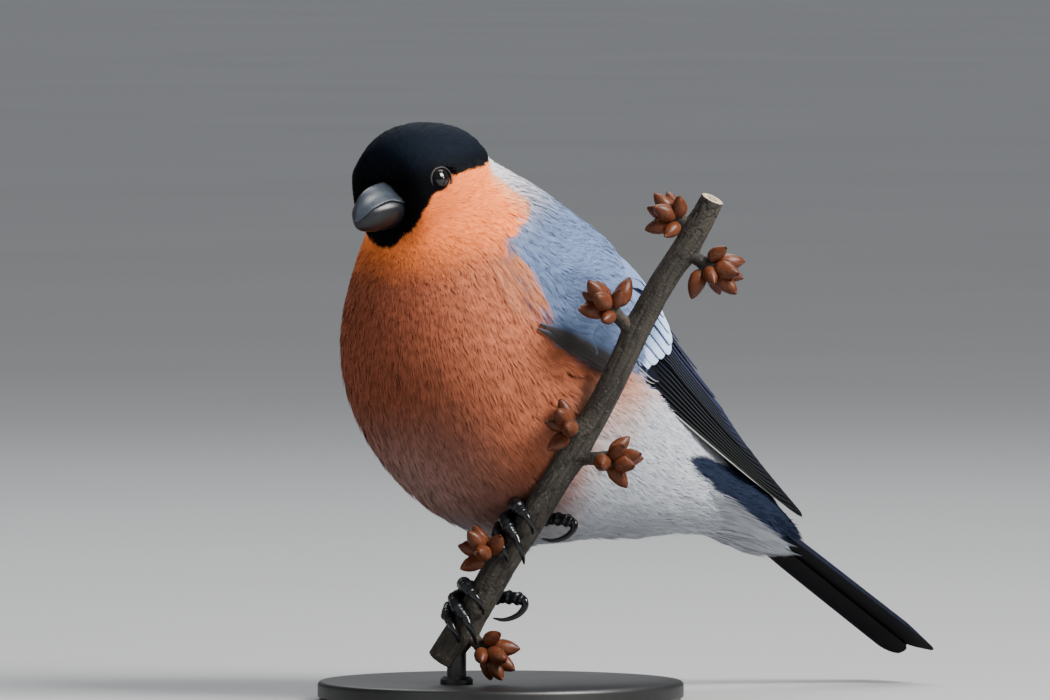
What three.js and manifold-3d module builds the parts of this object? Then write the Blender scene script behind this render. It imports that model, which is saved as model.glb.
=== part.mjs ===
// A male bullfinch, life size, perched on a cut length of twig over a small display stand.
// Millimetres, +Z up. The bird faces -Y, its left side is +X, and lengths are measured
// from the middle of its body. The finished group stands on Z = 0, centred on its box.
import * as THREE from 'three';
import { mergeVertices } from 'three/addons/utils/BufferGeometryUtils.js';
import Module from 'manifold-3d';

const wasm = await Module();
wasm.setup();

// Clearances and smoothness
const GAP = 0.3;
const BODY_SIDES = 26;
const BODY_SECTIONS = 21;
const HEAD_SIDES = 26;
const HEAD_SECTIONS = 16;

// The trunk: where its middle line runs, and half its width and depth there
const TRUNK = [
  { y: -10, z: 38, wide: 10, deep: 10.5 },
  { y: -5, z: 26, wide: 18, deep: 20.5 },
  { y: 0.5, z: 13, wide: 24.5, deep: 29 },
  { y: 7.5, z: 0.5, wide: 26.5, deep: 31 },
  { y: 19.5, z: -9.8, wide: 25.2, deep: 27.6 },
  { y: 35, z: -18, wide: 19.5, deep: 19 },
  { y: 52, z: -24, wide: 12, deep: 10 },
  { y: 66, z: -29.2, wide: 8.6, deep: 6.2 },
  { y: 79, z: -37.2, wide: 4.5, deep: 2.2 },
];
const NECK_CUT = 0.155;
const RUMP_CUT = 0.66;

// The head: its place, how far it turns and dips, and its sections from nape to face
const HEAD = { x: 0.5, y: -12.7, z: 37.2, turn: 14, dip: 10 };
const HEAD_STATIONS = [
  { f: -14.2, h: -1, wide: 3, tall: 3 },
  { f: -12.2, h: -1, wide: 7.8, tall: 7.4 },
  { f: -7, h: -0.7, wide: 11.8, tall: 10.8 },
  { f: 0, h: -0.6, wide: 12.8, tall: 12 },
  { f: 5, h: -1, wide: 11.6, tall: 11.7 },
  { f: 8.8, h: -1.6, wide: 9.6, tall: 10.2 },
  { f: 11.6, h: -2.6, wide: 6.6, tall: 7.6 },
  { f: 13, h: -3.3, wide: 3, tall: 3.5 },
];
const FACE_CUT = 10.2;
const EYE = { f: 5.2, l: 9.3, h: 1.6, radius: 2.45 };
const LID = { radius: 2.3, tube: 0.5 };

// The bill: blunt, deep and bulging, with the mouth line arched
const BILL = { start: 10.5, length: 9.6, wide: 4.8, culmen: 1.75, tip: -4.7, chin: -7.3 };
const MOUTH_LINE = [[8, -2.9], [10.5, -2.2], [13.2, -1.1], [17.2, -2], [18.9, -3.2], [21.5, -6.2]];
const NOSTRIL = { f: 11.4, l: 2.5, h: 0.75, radius: 0.5 };

// The folded wing: its upper and lower edges against the body, from wrist to tip
const WING_UPPER = [
  [11.5, 3, 29.5], [9.2, 20.5, 21.6], [5.2, 38.6, 5.6], [2.6, 59, -13.6], [1.3, 79.5, -28.2],
];
const WING_LOWER = [
  [22.6, -3, 8], [23.6, 14, 0.6], [19.6, 33, -9.8], [11.8, 55, -20], [5, 77.5, -31.4],
];
const WING_BULGE = [4, 4.2, 2.4, 0.9, 0.3];
const WING_INSET = 0.02;
const WING_BED = { deep: 0.6, high: 7, margin: 0.035, spread: 0.1, from: -0.025, ahead: 0.03 };
const PAD = { from: 0, to: 0.42, edge: 0.7, crown: 3.2, nose: 0.13 };

// Vanes: rows along a feather, as parts of its length, and how wide it is at each
const VANE = { thick: 0.6, thin: 0.42 };
const WING_VANE = { rows: [0, 0.34, 0.7, 0.9, 1], widths: [0.6, 0.9, 1, 0.78, 0.16], sunk: 0.25 };

// Wing feathers from the outermost inward: number, where roots and tips start and end on the
// wing as [along, down], how wide, how high the first and the last lie and how far each tilts
const WING_ROWS = [
  {
    count: 7, roots: [[0.3, 0.86], [0.34, 0.5]], tips: [[1, 0.56], [0.8, 0.44]],
    wide: 7.4, lie: [0, 2.5], tilt: -0.4,
  },
  {
    count: 4, roots: [[0.33, 0.48], [0.34, 0.36]], tips: [[0.76, 0.4], [0.68, 0.32]],
    wide: 8.6, lie: [2.7, 3.6], tilt: -0.4,
  },
  {
    count: 3, roots: [[0.32, 0.3], [0.3, 0.2]], tips: [[0.64, 0.26], [0.52, 0.16]],
    wide: 8.8, lie: [3.8, 4.6], tilt: -0.5,
  },
  {
    count: 2, roots: [[0.26, 0.9], [0.25, 0.82]], tips: [[0.47, 0.88], [0.43, 0.8]],
    wide: 5, lie: [0.9, 1.4], tilt: 0,
  },
  {
    count: 5, roots: [[0.24, 0.74], [0.3, 0.22]], tips: [[0.4, 0.76], [0.46, 0.2]],
    wide: 8.2, lie: [2.4, 4.4], tilt: -0.4,
  },
];

// The tail: where its feathers start, their slope, and six feathers a side from the middle pair out
const TAIL = {
  y: 60, z: -23.7, slope: 33.1, roll: 6, pairs: 6, length: [57, 61], root: 0.45, spread: [0.7, 3.6],
};
const TAIL_VANE = {
  wide: 7.8, step: 0.34, fold: 0.012, rows: [0, 0.9, 0.97, 1], widths: [0.7, 1, 0.76, 0.25], sunk: 1,
};
const TAIL_BLOCK = { length: 7, wide: 4.4, thick: 2.4 };
const TAIL_SLOT = { start: 6.2, end: 14 };

// The camera's plane, along which the perch is laid: u to the right, v up, w towards the viewer
const VIEW_TURN = THREE.MathUtils.degToRad(54);
const PERCH_LINE = [
  [-5.3, -56.5, 7.6], [1.2, -46.1, 10.5], [6.4, -37.2, 12.6], [12.2, -28.4, 14.5], [18.8, -17.6, 16.8],
  [25.7, -5.9, 19], [36.2, 15.7, 24], [44.2, 28.4, 27], [47.2, 34.3, 28.5],
];
const PERCH_RADIUS = [3.2, 2.4];

// Feet: how high on the perch each one grips, its three front toes and its hind toe.
// A toe is led round the bark: degrees from the viewer's side, clearance, slide along the perch
const FEET = [
  {
    name: 'left', side: 1, height: -29.5,
    heel: [9.5, 15, -27], thigh: [11, 13, -25], puff: [5.4, 8],
  },
  {
    name: 'right', side: -1, height: -45.2,
    heel: [-2.5, 9.5, -37.2], thigh: [-4.5, 11.5, -31], puff: [5.6, 8],
  },
];
const TOE = { root: 1.15, tip: 0.75, sides: 6, steps: 5 };
const FRONT_TOES = [
  {
    toe: [[182, 0.1, 0], [232, 0.25, 1], [285, 0.2, 1.9], [334, 0, 1.8]],
    claw: [[348, 0.35, 1.6], [372, 0.5, 0.6], [395, 0.05, -0.9]],
  },
  {
    toe: [[182, 0.1, -0.6], [238, 0.35, -1.3], [298, 0.25, -2], [352, 0, -3.1]],
    claw: [[364, 0.7, -3.6], [386, 1.5, -4.9], [404, 1.9, -6.6]],
  },
  {
    toe: [[182, 0.1, -1.2], [230, 0.2, -3.4], [272, 0.2, -4.7], [318, 0, -5.6]],
    claw: [[331, 0.35, -6], [352, 0.45, -6.9], [372, 0.05, -8.2]],
  },
];
const HIND_TOE = {
  toe: [[178, 0.1, 0], [140, 0.5, 2.2], [112, 1.9, 4], [96, 3.4, 4.8]],
  claw: [[92, 4.2, 4], [86, 4, 2], [80, 2.4, -0.1], [76, 0.5, -1]],
};
const CLAW = { root: 0.62, tip: 0.12, sides: 5, steps: 4 };

// Bud clusters on the perch: height, side, number, how far the spur carries them and its lean
const BUD = { length: 5.9, radius: 1.45, sides: 6, rings: 3, knob: 1.9 };
const CLUSTERS = [
  { height: 24.2, turn: 80, count: 7, spur: 4.4, lift: 0.1, spread: 1.5 },
  { height: 28.2, turn: -84, count: 5, spur: 1.8, lift: 0.1, spread: 1.4 },
  { height: 8.6, turn: -62, count: 6, spur: 5.6, lift: 0.55, spread: 1.35 },
  { height: -15.4, turn: 62, count: 5, spur: 5.4, lift: 0.7, spread: 1.35 },
  { height: -11.8, turn: -44, count: 3, spur: 1.4, lift: 0.3, spread: 1 },
  { height: -37, turn: -56, count: 5, spur: 1, lift: 0.2, spread: 1.3 },
  { height: -50.4, turn: 66, count: 5, spur: 4.2, lift: -0.1, spread: 1.1 },
];

// The stand
const BASE = { radius: 36, thick: 3.5, bevel: 0.8, u: 6, w: -4, bottom: -64.7 };
const ROD = { radius: 1.9, u: -2.6, w: 8.4 };

const materials = {
  cap: new THREE.MeshStandardMaterial({ color: 0x0c0d12, roughness: 0.7 }),
  breast: new THREE.MeshStandardMaterial({ color: 0xc9684a, roughness: 0.9 }),
  mantle: new THREE.MeshStandardMaterial({ color: 0x8a9099, roughness: 0.9 }),
  vent: new THREE.MeshStandardMaterial({ color: 0xe4e4e4, roughness: 0.9 }),
  wing: new THREE.MeshStandardMaterial({ color: 0x1b1c22, roughness: 0.5 }),
  tail: new THREE.MeshStandardMaterial({ color: 0x14151c, roughness: 0.45 }),
  bill: new THREE.MeshStandardMaterial({ color: 0x1f2126, roughness: 0.3 }),
  eye: new THREE.MeshStandardMaterial({ color: 0x060505, roughness: 0.05 }),
  leg: new THREE.MeshStandardMaterial({ color: 0x25242a, roughness: 0.5 }),
  claw: new THREE.MeshStandardMaterial({ color: 0x101014, roughness: 0.25 }),
  bark: new THREE.MeshStandardMaterial({ color: 0x5d544a, roughness: 0.85 }),
  bud: new THREE.MeshStandardMaterial({ color: 0x7a3b26, roughness: 0.4 }),
  stand: new THREE.MeshStandardMaterial({ color: 0x2b2c2e, roughness: 0.45, metalness: 0.6 }),
};

const bird = new THREE.Group();

function vector(x, y, z) {
  return new THREE.Vector3(x, y, z);
}

function seen(u, v, w) {
  const right = vector(Math.cos(VIEW_TURN), Math.sin(VIEW_TURN), 0);
  const toward = vector(Math.sin(VIEW_TURN), -Math.cos(VIEW_TURN), 0);
  return right.multiplyScalar(u).addScaledVector(toward, w).add(vector(0, 0, v));
}

// A closed surface through rings that all have the same number of points. A thin form's rings
// run out over its upper face and back under it. Both faces are split along like diagonals, and
// its ends are closed with strips, where a thick form's are closed with fans.
function loft(rings, thin = false) {
  const sides = rings[0].length;
  const points = rings.flat();
  const faces = [];
  for (let r = 0; r < rings.length - 1; r += 1) {
    for (let s = 0; s < sides; s += 1) {
      const here = r * sides + s;
      const next = r * sides + ((s + 1) % sides);
      if (thin && s >= sides / 2) {
        faces.push(here, next, here + sides, next, next + sides, here + sides);
      } else {
        faces.push(here, next, next + sides, here, next + sides, here + sides);
      }
    }
  }
  [0, rings.length - 1].forEach((r) => {
    if (thin) {
      for (let s = 0; s < sides / 2 - 1; s += 1) {
        const [a, b, c, d] = [s, s + 1, sides - 2 - s, sides - 1 - s].map((k) => r * sides + k);
        faces.push(...(r === 0 ? [a, d, c, a, c, b] : [a, c, d, a, b, c]));
      }
      return;
    }
    const middle = rings[r].reduce((sum, p) => sum.add(p), vector(0, 0, 0)).divideScalar(sides);
    const hub = points.push(middle) - 1;
    for (let s = 0; s < sides; s += 1) {
      const here = r * sides + s;
      const next = r * sides + ((s + 1) % sides);
      faces.push(...(r === 0 ? [hub, next, here] : [hub, here, next]));
    }
  });
  return solidFrom(points.flatMap((p) => [p.x, p.y, p.z]), faces);
}

// A solid from loose triangles, turned right way out
function solidFrom(positions, faces) {
  let volume = 0;
  for (let i = 0; i < faces.length; i += 3) {
    const corner = (k) => vector(...positions.slice(3 * faces[i + k], 3 * faces[i + k] + 3));
    const [a, b, c] = [0, 1, 2].map(corner);
    volume += a.dot(b.cross(c));
  }
  if (volume < 0) {
    for (let i = 0; i < faces.length; i += 3) {
      [faces[i], faces[i + 1]] = [faces[i + 1], faces[i]];
    }
  }
  const mesh = new wasm.Mesh({
    numProp: 3,
    vertProperties: new Float32Array(positions),
    triVerts: new Uint32Array(faces),
  });
  return new wasm.Manifold(mesh);
}

// A solid from one of the library's own closed shapes, moved by a matrix
function solidOf(geometry, matrix = new THREE.Matrix4()) {
  const bare = geometry.clone().applyMatrix4(matrix);
  bare.deleteAttribute('normal');
  bare.deleteAttribute('uv');
  const merged = mergeVertices(bare, 1e-4);
  return solidFrom([...merged.attributes.position.array], [...merged.index.array]);
}

function joined(solids) {
  return solids.reduce((sum, solid) => sum.add(solid));
}

function largest(solid) {
  return solid.decompose().reduce((best, piece) => (piece.volume() > best.volume() ? piece : best));
}

function put(name, solid, material) {
  const body = largest(solid).getMesh();
  const geometry = new THREE.BufferGeometry();
  geometry.setAttribute('position', new THREE.BufferAttribute(new Float32Array(body.vertProperties), 3));
  geometry.setIndex([...body.triVerts]);
  geometry.computeVertexNormals();
  const mesh = new THREE.Mesh(geometry, materials[material]);
  mesh.name = name;
  bird.add(mesh);
}

function mirrored(solid) {
  const mesh = solid.getMesh();
  const positions = [...mesh.vertProperties];
  for (let i = 0; i < positions.length; i += 3) {
    positions[i] = -positions[i];
  }
  return solidFrom(positions, [...mesh.triVerts]);
}

// An oval ring about a middle point, from two half-axis vectors
function oval(middle, across, along, sides) {
  return Array.from({ length: sides }, (_, s) => {
    const turn = (2 * Math.PI * s) / sides;
    return middle.clone().addScaledVector(across, Math.cos(turn)).addScaledVector(along, Math.sin(turn));
  });
}

// Half sizes between named stations, along the same parameter as their middle line
function sizes(stations, first, second) {
  return new THREE.SplineCurve(stations.map((s) => new THREE.Vector2(s[first], s[second])));
}

// A round rod of changing radius along a curve, with frames that do not twist
function rod(curve, radiusAt, sides, steps) {
  const frames = curve.computeFrenetFrames(steps, false);
  const rings = [];
  for (let i = 0; i <= steps; i += 1) {
    const radius = radiusAt(i / steps);
    const across = frames.normals[i].clone().multiplyScalar(radius);
    const along = frames.binormals[i].clone().multiplyScalar(radius);
    rings.push(oval(curve.getPointAt(i / steps), across, along, sides));
  }
  return loft(rings);
}

// A flat slab across a line, used to part one solid from the next
function slab(point, direction, thick, reach) {
  const turn = new THREE.Quaternion().setFromUnitVectors(vector(0, 0, 1), direction.clone().normalize());
  const matrix = new THREE.Matrix4().compose(point, turn, vector(1, 1, 1));
  return solidOf(new THREE.BoxGeometry(reach, reach, thick), matrix);
}

// Trunk
const spine = new THREE.CatmullRomCurve3(TRUNK.map((s) => vector(0, s.y, s.z)));
const girth = sizes(TRUNK, 'wide', 'deep');

function trunkRing(t, grow) {
  const tangent = spine.getTangent(t);
  const size = girth.getPoint(t);
  const across = vector(size.x + grow, 0, 0);
  const along = vector(0, -tangent.z, tangent.y).multiplyScalar(size.y + grow);
  return oval(spine.getPoint(t), across, along, BODY_SIDES);
}

const trunk = loft(Array.from({ length: BODY_SECTIONS + 1 }, (_, i) => trunkRing(i / BODY_SECTIONS, 0)));

// Head
const headPlace = new THREE.Matrix4().compose(
  vector(HEAD.x, HEAD.y, HEAD.z),
  new THREE.Quaternion().setFromEuler(new THREE.Euler(
    THREE.MathUtils.degToRad(HEAD.dip), 0, THREE.MathUtils.degToRad(HEAD.turn), 'ZXY')),
  vector(1, 1, 1),
);

function onHead(f, l, h) {
  return vector(l, -f, h).applyMatrix4(headPlace);
}

function headForm() {
  const line = sizes(HEAD_STATIONS, 'f', 'h');
  const half = sizes(HEAD_STATIONS, 'wide', 'tall');
  const rings = [];
  for (let i = 0; i <= HEAD_SECTIONS; i += 1) {
    const place = line.getPoint(i / HEAD_SECTIONS);
    const size = half.getPoint(i / HEAD_SECTIONS);
    const middle = vector(0, -place.x, place.y);
    const ring = oval(middle, vector(size.x, 0, 0), vector(0, 0, size.y), HEAD_SIDES);
    rings.push(ring.map((p) => p.applyMatrix4(headPlace)));
  }
  return loft(rings);
}

function eyeBall(side, grow) {
  const centre = onHead(EYE.f, side * EYE.l, EYE.h);
  const move = new THREE.Matrix4().makeTranslation(centre.x, centre.y, centre.z);
  return solidOf(new THREE.SphereGeometry(EYE.radius + grow, 14, 8), move);
}

function lidRing(side) {
  const outward = vector(side, -0.28, 0.1).normalize();
  const turn = new THREE.Quaternion().setFromUnitVectors(vector(0, 0, 1), outward);
  const centre = vector(side * EYE.l, -EYE.f, EYE.h).addScaledVector(outward, 1.1);
  const local = new THREE.Matrix4().compose(centre, turn, vector(1, 1, 1));
  return solidOf(new THREE.TorusGeometry(LID.radius, LID.tube, 6, 16), headPlace.clone().multiply(local));
}

function faceCutter() {
  const depth = 20;
  const box = new THREE.Matrix4().makeTranslation(0, -FACE_CUT - depth / 2, 0);
  return solidOf(new THREE.BoxGeometry(2 * depth, depth, 2 * depth), headPlace.clone().multiply(box));
}

// Flesh as one form, then parted with thin cuts
function fleshParts(beds) {
  let flesh = headForm().subtract(faceCutter()).add(trunk);
  [-1, 1].forEach((side) => {
    flesh = flesh.add(lidRing(side)).subtract(eyeBall(side, GAP));
  });
  beds.forEach((bed) => {
    flesh = flesh.subtract(bed);
  });
  const throat = spine.getPoint(0.085);
  [[throat, vector(0, 0.25, -1)],
    [spine.getPoint(NECK_CUT * 1.35), spine.getTangent(NECK_CUT * 1.35)],
    [spine.getPoint(RUMP_CUT), spine.getTangent(RUMP_CUT)]].forEach(([point, direction]) => {
    flesh = flesh.subtract(slab(point, direction, GAP, 150));
  });
  return flesh.decompose().filter((piece) => piece.volume() > 50)
    .sort((a, b) => b.boundingBox().max[2] - a.boundingBox().max[2]);
}

// Bill
function billForm() {
  const rings = [];
  const sections = 8;
  for (let i = 0; i <= sections; i += 1) {
    const x = Math.sin((Math.PI / 2) * (i / sections)) * 0.995;
    const round = Math.sqrt(1 - x ** 3);
    const top = BILL.tip + (BILL.culmen - BILL.tip) * round;
    const low = BILL.tip - 0.1 + (BILL.chin - BILL.tip) * round;
    const wide = BILL.wide * (1 - x ** 2.2) ** 0.6;
    const middle = vector(0, -(BILL.start + BILL.length * x), (top + low) / 2);
    const ring = oval(middle, vector(wide, 0, 0), vector(0, 0, (top - low) / 2), 14);
    rings.push(ring.map((p) => p.applyMatrix4(headPlace)));
  }
  return loft(rings);
}

function mouthCutter() {
  const line = new THREE.SplineCurve(MOUTH_LINE.map(([f, h]) => new THREE.Vector2(f, h)));
  const steps = 10;
  const half = GAP / 2;
  const upper = line.getPoints(steps).map((p) => [p.x, p.y + half]);
  const lower = line.getPoints(steps).map((p) => [p.x, p.y - half]).reverse();
  const outline = new THREE.Shape([...upper, ...lower].map(([f, h]) => new THREE.Vector2(f, h)));
  const band = new THREE.ExtrudeGeometry(outline, { depth: 16, bevelEnabled: false });
  // The outline is drawn in forward and up, and drawn out sideways across the bill
  const lay = new THREE.Matrix4().makeBasis(vector(0, -1, 0), vector(0, 0, 1), vector(1, 0, 0));
  const centred = new THREE.Matrix4().makeTranslation(-8, 0, 0);
  return solidOf(band, headPlace.clone().multiply(centred).multiply(lay));
}

function nostril(side) {
  const centre = onHead(NOSTRIL.f, side * NOSTRIL.l, NOSTRIL.h);
  const move = new THREE.Matrix4().makeTranslation(centre.x, centre.y, centre.z);
  return solidOf(new THREE.SphereGeometry(NOSTRIL.radius, 8, 6), move);
}

// Wing surface: a strip between its two edges that bulges outward
const wingUpper = new THREE.CatmullRomCurve3(WING_UPPER.map((p) => vector(...p)));
const wingLower = new THREE.CatmullRomCurve3(WING_LOWER.map((p) => vector(...p)));
const wingBulge = new THREE.SplineCurve(WING_BULGE.map((b, i) => new THREE.Vector2(i, b)));

function beyond(curve, t) {
  const inside = Math.min(Math.max(t, 0), 1);
  const slope = curve.getPoint(Math.min(inside + 0.01, 1)).sub(curve.getPoint(Math.max(inside - 0.01, 0)));
  const span = Math.min(inside + 0.01, 1) - Math.max(inside - 0.01, 0);
  return curve.getPoint(inside).addScaledVector(slope, (t - inside) / span);
}

function wingSheet(t, q) {
  const top = beyond(wingUpper, t);
  const low = beyond(wingLower, t);
  const ahead = beyond(wingUpper, t + 0.02).sub(top);
  const outward = low.clone().sub(top).cross(ahead).normalize();
  const rise = wingBulge.getPoint(Math.min(Math.max(t, 0), 1)).y * 4 * q * (1 - q);
  return top.lerp(low, q).addScaledVector(outward, rise);
}

function wingNormal(t, q) {
  const along = wingSheet(t + 0.01, q).sub(wingSheet(t - 0.01, q));
  const across = wingSheet(t, q + 0.02).sub(wingSheet(t, q - 0.02));
  return across.cross(along).normalize();
}

function lifted(t, q, lift) {
  return wingSheet(t, q).addScaledVector(wingNormal(t, q), lift);
}

// A slab that follows the wing's surface between two heights over it
function wingSlab(tRange, reach, low, high, rows, columns) {
  const rings = [];
  for (let i = 0; i <= rows; i += 1) {
    const t = THREE.MathUtils.lerp(...tRange, i / rows);
    const outer = [];
    const inner = [];
    for (let j = 0; j <= columns; j += 1) {
      const q = THREE.MathUtils.lerp(...reach(t), j / columns);
      outer.push(lifted(t, q, high(i / rows, j / columns)));
      inner.unshift(lifted(t, q, low));
    }
    rings.push([...outer, ...inner]);
  }
  return loft(rings, true);
}

// How far the wing reaches up and down its own width: the wrist is round, and the rest full
function wingReach(t, margin) {
  const nose = Math.min(1, Math.max(0, (t - PAD.from) / PAD.nose));
  const half = 0.5 * (0.45 + 0.55 * Math.sin((Math.PI / 2) * nose)) + margin;
  return [0.5 - half, 0.5 + half];
}

// The covert pad: thick in the middle, thin where the long feathers leave it
function covertPad() {
  const arch = (b) => Math.sqrt(Math.max(0, 4 * b * (1 - b)));
  const height = (a, b) => PAD.edge + PAD.crown * arch(b) * Math.sin(Math.PI * (0.1 + 0.8 * a));
  return wingSlab([PAD.from, PAD.to], (t) => wingReach(t, 0), 0, height, 9, 8);
}

// The bed that the wing lies in, cut from the body with clearance
function wingBed() {
  const { deep, high, margin, spread, from, ahead } = WING_BED;
  const reach = (t) => wingReach(t + ahead, margin + spread * Math.min(1, Math.max(0, (t - 0.25) / 0.2)));
  return wingSlab([from, 1.04], reach, -deep, () => high, 16, 6);
}

// One feather: at() places a point by its part of the length, its offset across and its height
function vane(at, { rows, widths, sunk, wide, tilt, lie }) {
  const rings = rows.map((x, i) => {
    const half = (wide / 2) * widths[i];
    const free = Math.min(1, sunk + 2.6 * x);
    const low = lie * free;
    const rise = tilt * free;
    const thick = THREE.MathUtils.lerp(VANE.thick, VANE.thin, x);
    return [
      at(x, -half, low + thick),
      at(x, half, low + rise + thick),
      at(x, half, low + rise),
      at(x, -half, low),
    ];
  });
  return loft(rings, true);
}

function wingVane({ roots, tips, wide, lie, tilt }, share) {
  const root = roots[0].map((value, k) => THREE.MathUtils.lerp(value, roots[1][k], share));
  const tip = tips[0].map((value, k) => THREE.MathUtils.lerp(value, tips[1][k], share));
  const at = (x, offset, height) => {
    const t = THREE.MathUtils.lerp(root[0], tip[0], x);
    const q = THREE.MathUtils.lerp(root[1], tip[1], x);
    const span = wingSheet(t, 1).distanceTo(wingSheet(t, 0));
    const inset = WING_INSET * (1 + 2 * share);
    return lifted(t, THREE.MathUtils.clamp(q + offset / span, inset, 1 - inset), height);
  };
  return vane(at, { ...WING_VANE, wide, lie: THREE.MathUtils.lerp(...lie, share), tilt });
}

function wingForm() {
  const vanes = WING_ROWS.flatMap((row) => Array.from({ length: row.count }, (_, i) => (
    wingVane(row, i / (row.count - 1)))));
  return joined([covertPad(), ...vanes]);
}

// Tail
const tailPlace = new THREE.Matrix4().compose(
  vector(0, TAIL.y, TAIL.z),
  new THREE.Quaternion().setFromEuler(new THREE.Euler(
    -THREE.MathUtils.degToRad(TAIL.slope), -THREE.MathUtils.degToRad(TAIL.roll), 0, 'XYZ')),
  vector(1, 1, 1),
);

function onTail(x, y, z) {
  return vector(x, y, z - TAIL_VANE.fold * x * x).applyMatrix4(tailPlace);
}

function tailVane(side, pair) {
  const share = pair / (TAIL.pairs - 1);
  const length = THREE.MathUtils.lerp(...TAIL.length, share);
  const aside = side * THREE.MathUtils.lerp(...TAIL.spread, share);
  const lie = -TAIL_VANE.step * (pair + (side > 0 ? 0 : 0.5));
  const at = (x, offset, height) => {
    const splay = THREE.MathUtils.lerp(TAIL.root, 1, Math.sqrt(x));
    return onTail(aside * splay + offset, length * x, height);
  };
  return vane(at, { ...TAIL_VANE, lie, tilt: 0 });
}

function tailRing(y, half, low, high, sides) {
  return Array.from({ length: sides }, (_, s) => {
    const turn = (2 * Math.PI * s) / sides;
    const rise = THREE.MathUtils.lerp(low, high, 0.5 + 0.5 * Math.sin(turn));
    return onTail(half * Math.cos(turn), y, rise);
  });
}

function tailForm() {
  const { length, wide, thick } = TAIL_BLOCK;
  const block = loft([0.8, 1, 0.8].map((size, i) => (
    tailRing((length * i) / 2, wide * size, 0.5 - thick * size, 0.6 * size, 12))));
  const vanes = Array.from({ length: TAIL.pairs }, (_, pair) => [tailVane(1, pair), tailVane(-1, pair)]);
  return joined([block, ...vanes.flat()]);
}

// The space the tail takes in the rump, with clearance all round
function tailSlot() {
  const steps = 5;
  const rings = [];
  for (let i = 0; i <= steps; i += 1) {
    const y = -GAP + ((TAIL.length[1] * 0.6) * i) / steps;
    const half = THREE.MathUtils.lerp(TAIL_SLOT.start, TAIL_SLOT.end, i / steps);
    const corner = (side, z) => vector(side * half, y, z).applyMatrix4(tailPlace);
    const top = VANE.thick + GAP;
    const low = -TAIL_VANE.step * TAIL.pairs - 0.9 - GAP;
    rings.push([corner(-1, top), corner(1, top), corner(1, low), corner(-1, low)]);
  }
  return loft(rings);
}

// Perch
const perchLine = new THREE.CatmullRomCurve3(PERCH_LINE.map((p) => seen(...p)));

function perchForm(grow) {
  return rod(perchLine, (t) => THREE.MathUtils.lerp(...PERCH_RADIUS, t) + grow, 12, 18);
}

// The place on the perch at a given height, with the way along it, to the viewer and to the right
function perchAt(height) {
  let [low, high] = [0, 1];
  for (let i = 0; i < 24; i += 1) {
    const middle = (low + high) / 2;
    [low, high] = perchLine.getPointAt(middle).z < height ? [middle, high] : [low, middle];
  }
  const along = perchLine.getTangentAt(low);
  const toward = seen(0, 0, 1).addScaledVector(along, -seen(0, 0, 1).dot(along)).normalize();
  return {
    point: perchLine.getPointAt(low),
    radius: THREE.MathUtils.lerp(...PERCH_RADIUS, low),
    along,
    toward,
    right: along.clone().cross(toward),
  };
}

function roundPerch(place, degrees, reach, slide) {
  const turn = THREE.MathUtils.degToRad(degrees);
  const out = place.toward.clone().multiplyScalar(Math.cos(turn));
  out.addScaledVector(place.right, Math.sin(turn));
  return place.point.clone().addScaledVector(out, reach).addScaledVector(place.along, slide);
}

// Legs
function digit(place, points, sizes, start) {
  const path = points.map(([degrees, clear, slide], i) => {
    const thick = THREE.MathUtils.lerp(sizes.root, sizes.tip, i / (points.length - 1));
    return roundPerch(place, degrees, place.radius + GAP + thick + clear, slide);
  });
  const curve = new THREE.CatmullRomCurve3(start ? [start, ...path] : path);
  return rod(curve, (t) => THREE.MathUtils.lerp(sizes.root, sizes.tip, t), sizes.sides, sizes.steps);
}

function ball(centre, radius) {
  const move = new THREE.Matrix4().makeTranslation(...centre.toArray());
  return solidOf(new THREE.SphereGeometry(radius, 7, 4), move);
}

function puffForm({ thigh, heel, puff }, grow) {
  const centre = vector(...thigh);
  const toHeel = vector(...heel).sub(centre).normalize();
  const turn = new THREE.Quaternion().setFromUnitVectors(vector(0, 1, 0), toHeel);
  const size = vector(puff[0] + grow, puff[1] + grow, puff[0] + grow);
  const place = new THREE.Matrix4().compose(centre, turn, size);
  return solidOf(new THREE.SphereGeometry(1, 12, 8), place);
}

function palmOf(foot) {
  const place = perchAt(foot.height);
  return roundPerch(place, 181, place.radius + GAP + TOE.root + 0.1, -0.4);
}

function shankForm(foot, grow) {
  const palm = palmOf(foot);
  const heel = vector(...foot.heel);
  const bend = palm.clone().lerp(heel, 0.5).add(vector(0, 0, -0.8));
  const curve = new THREE.CatmullRomCurve3([heel, bend, palm]);
  return rod(curve, (t) => 1.15 + 0.25 * (2 * t - 1) ** 2 + grow, 7, 4);
}

function footForm(foot, grow = 0) {
  const place = perchAt(foot.height);
  const fat = { ...TOE, root: TOE.root + grow, tip: TOE.tip + grow };
  const toes = [...FRONT_TOES, HIND_TOE].map((d) => digit(place, d.toe, fat));
  return joined([ball(palmOf(foot), 1.45 + grow), shankForm(foot, grow), ...toes]);
}

function clawForms(foot) {
  const place = perchAt(foot.height);
  return [...FRONT_TOES, HIND_TOE].map((d) => {
    const toe = digit(place, d.toe, { ...TOE, root: TOE.root + GAP, tip: TOE.tip + GAP });
    const [degrees, clear, slide] = d.toe.at(-1);
    const start = roundPerch(place, degrees, place.radius + GAP + TOE.tip + clear, slide);
    return digit(place, d.claw, CLAW, start).subtract(toe);
  });
}

// Buds: pointed ovals that spread from the end of a short spur
function budForm(root, direction, size) {
  const profile = Array.from({ length: BUD.rings + 1 }, (_, i) => {
    const x = i / BUD.rings;
    const round = Math.sin(Math.PI * x ** 0.82) ** 0.6;
    const radius = i % BUD.rings === 0 ? 0 : BUD.radius * size * round;
    return new THREE.Vector2(radius, BUD.length * size * x);
  });
  const turn = new THREE.Quaternion().setFromUnitVectors(vector(0, 1, 0), direction);
  const place = new THREE.Matrix4().compose(root, turn, vector(1, 1, 1));
  return solidOf(new THREE.LatheGeometry(profile, BUD.sides), place);
}

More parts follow.
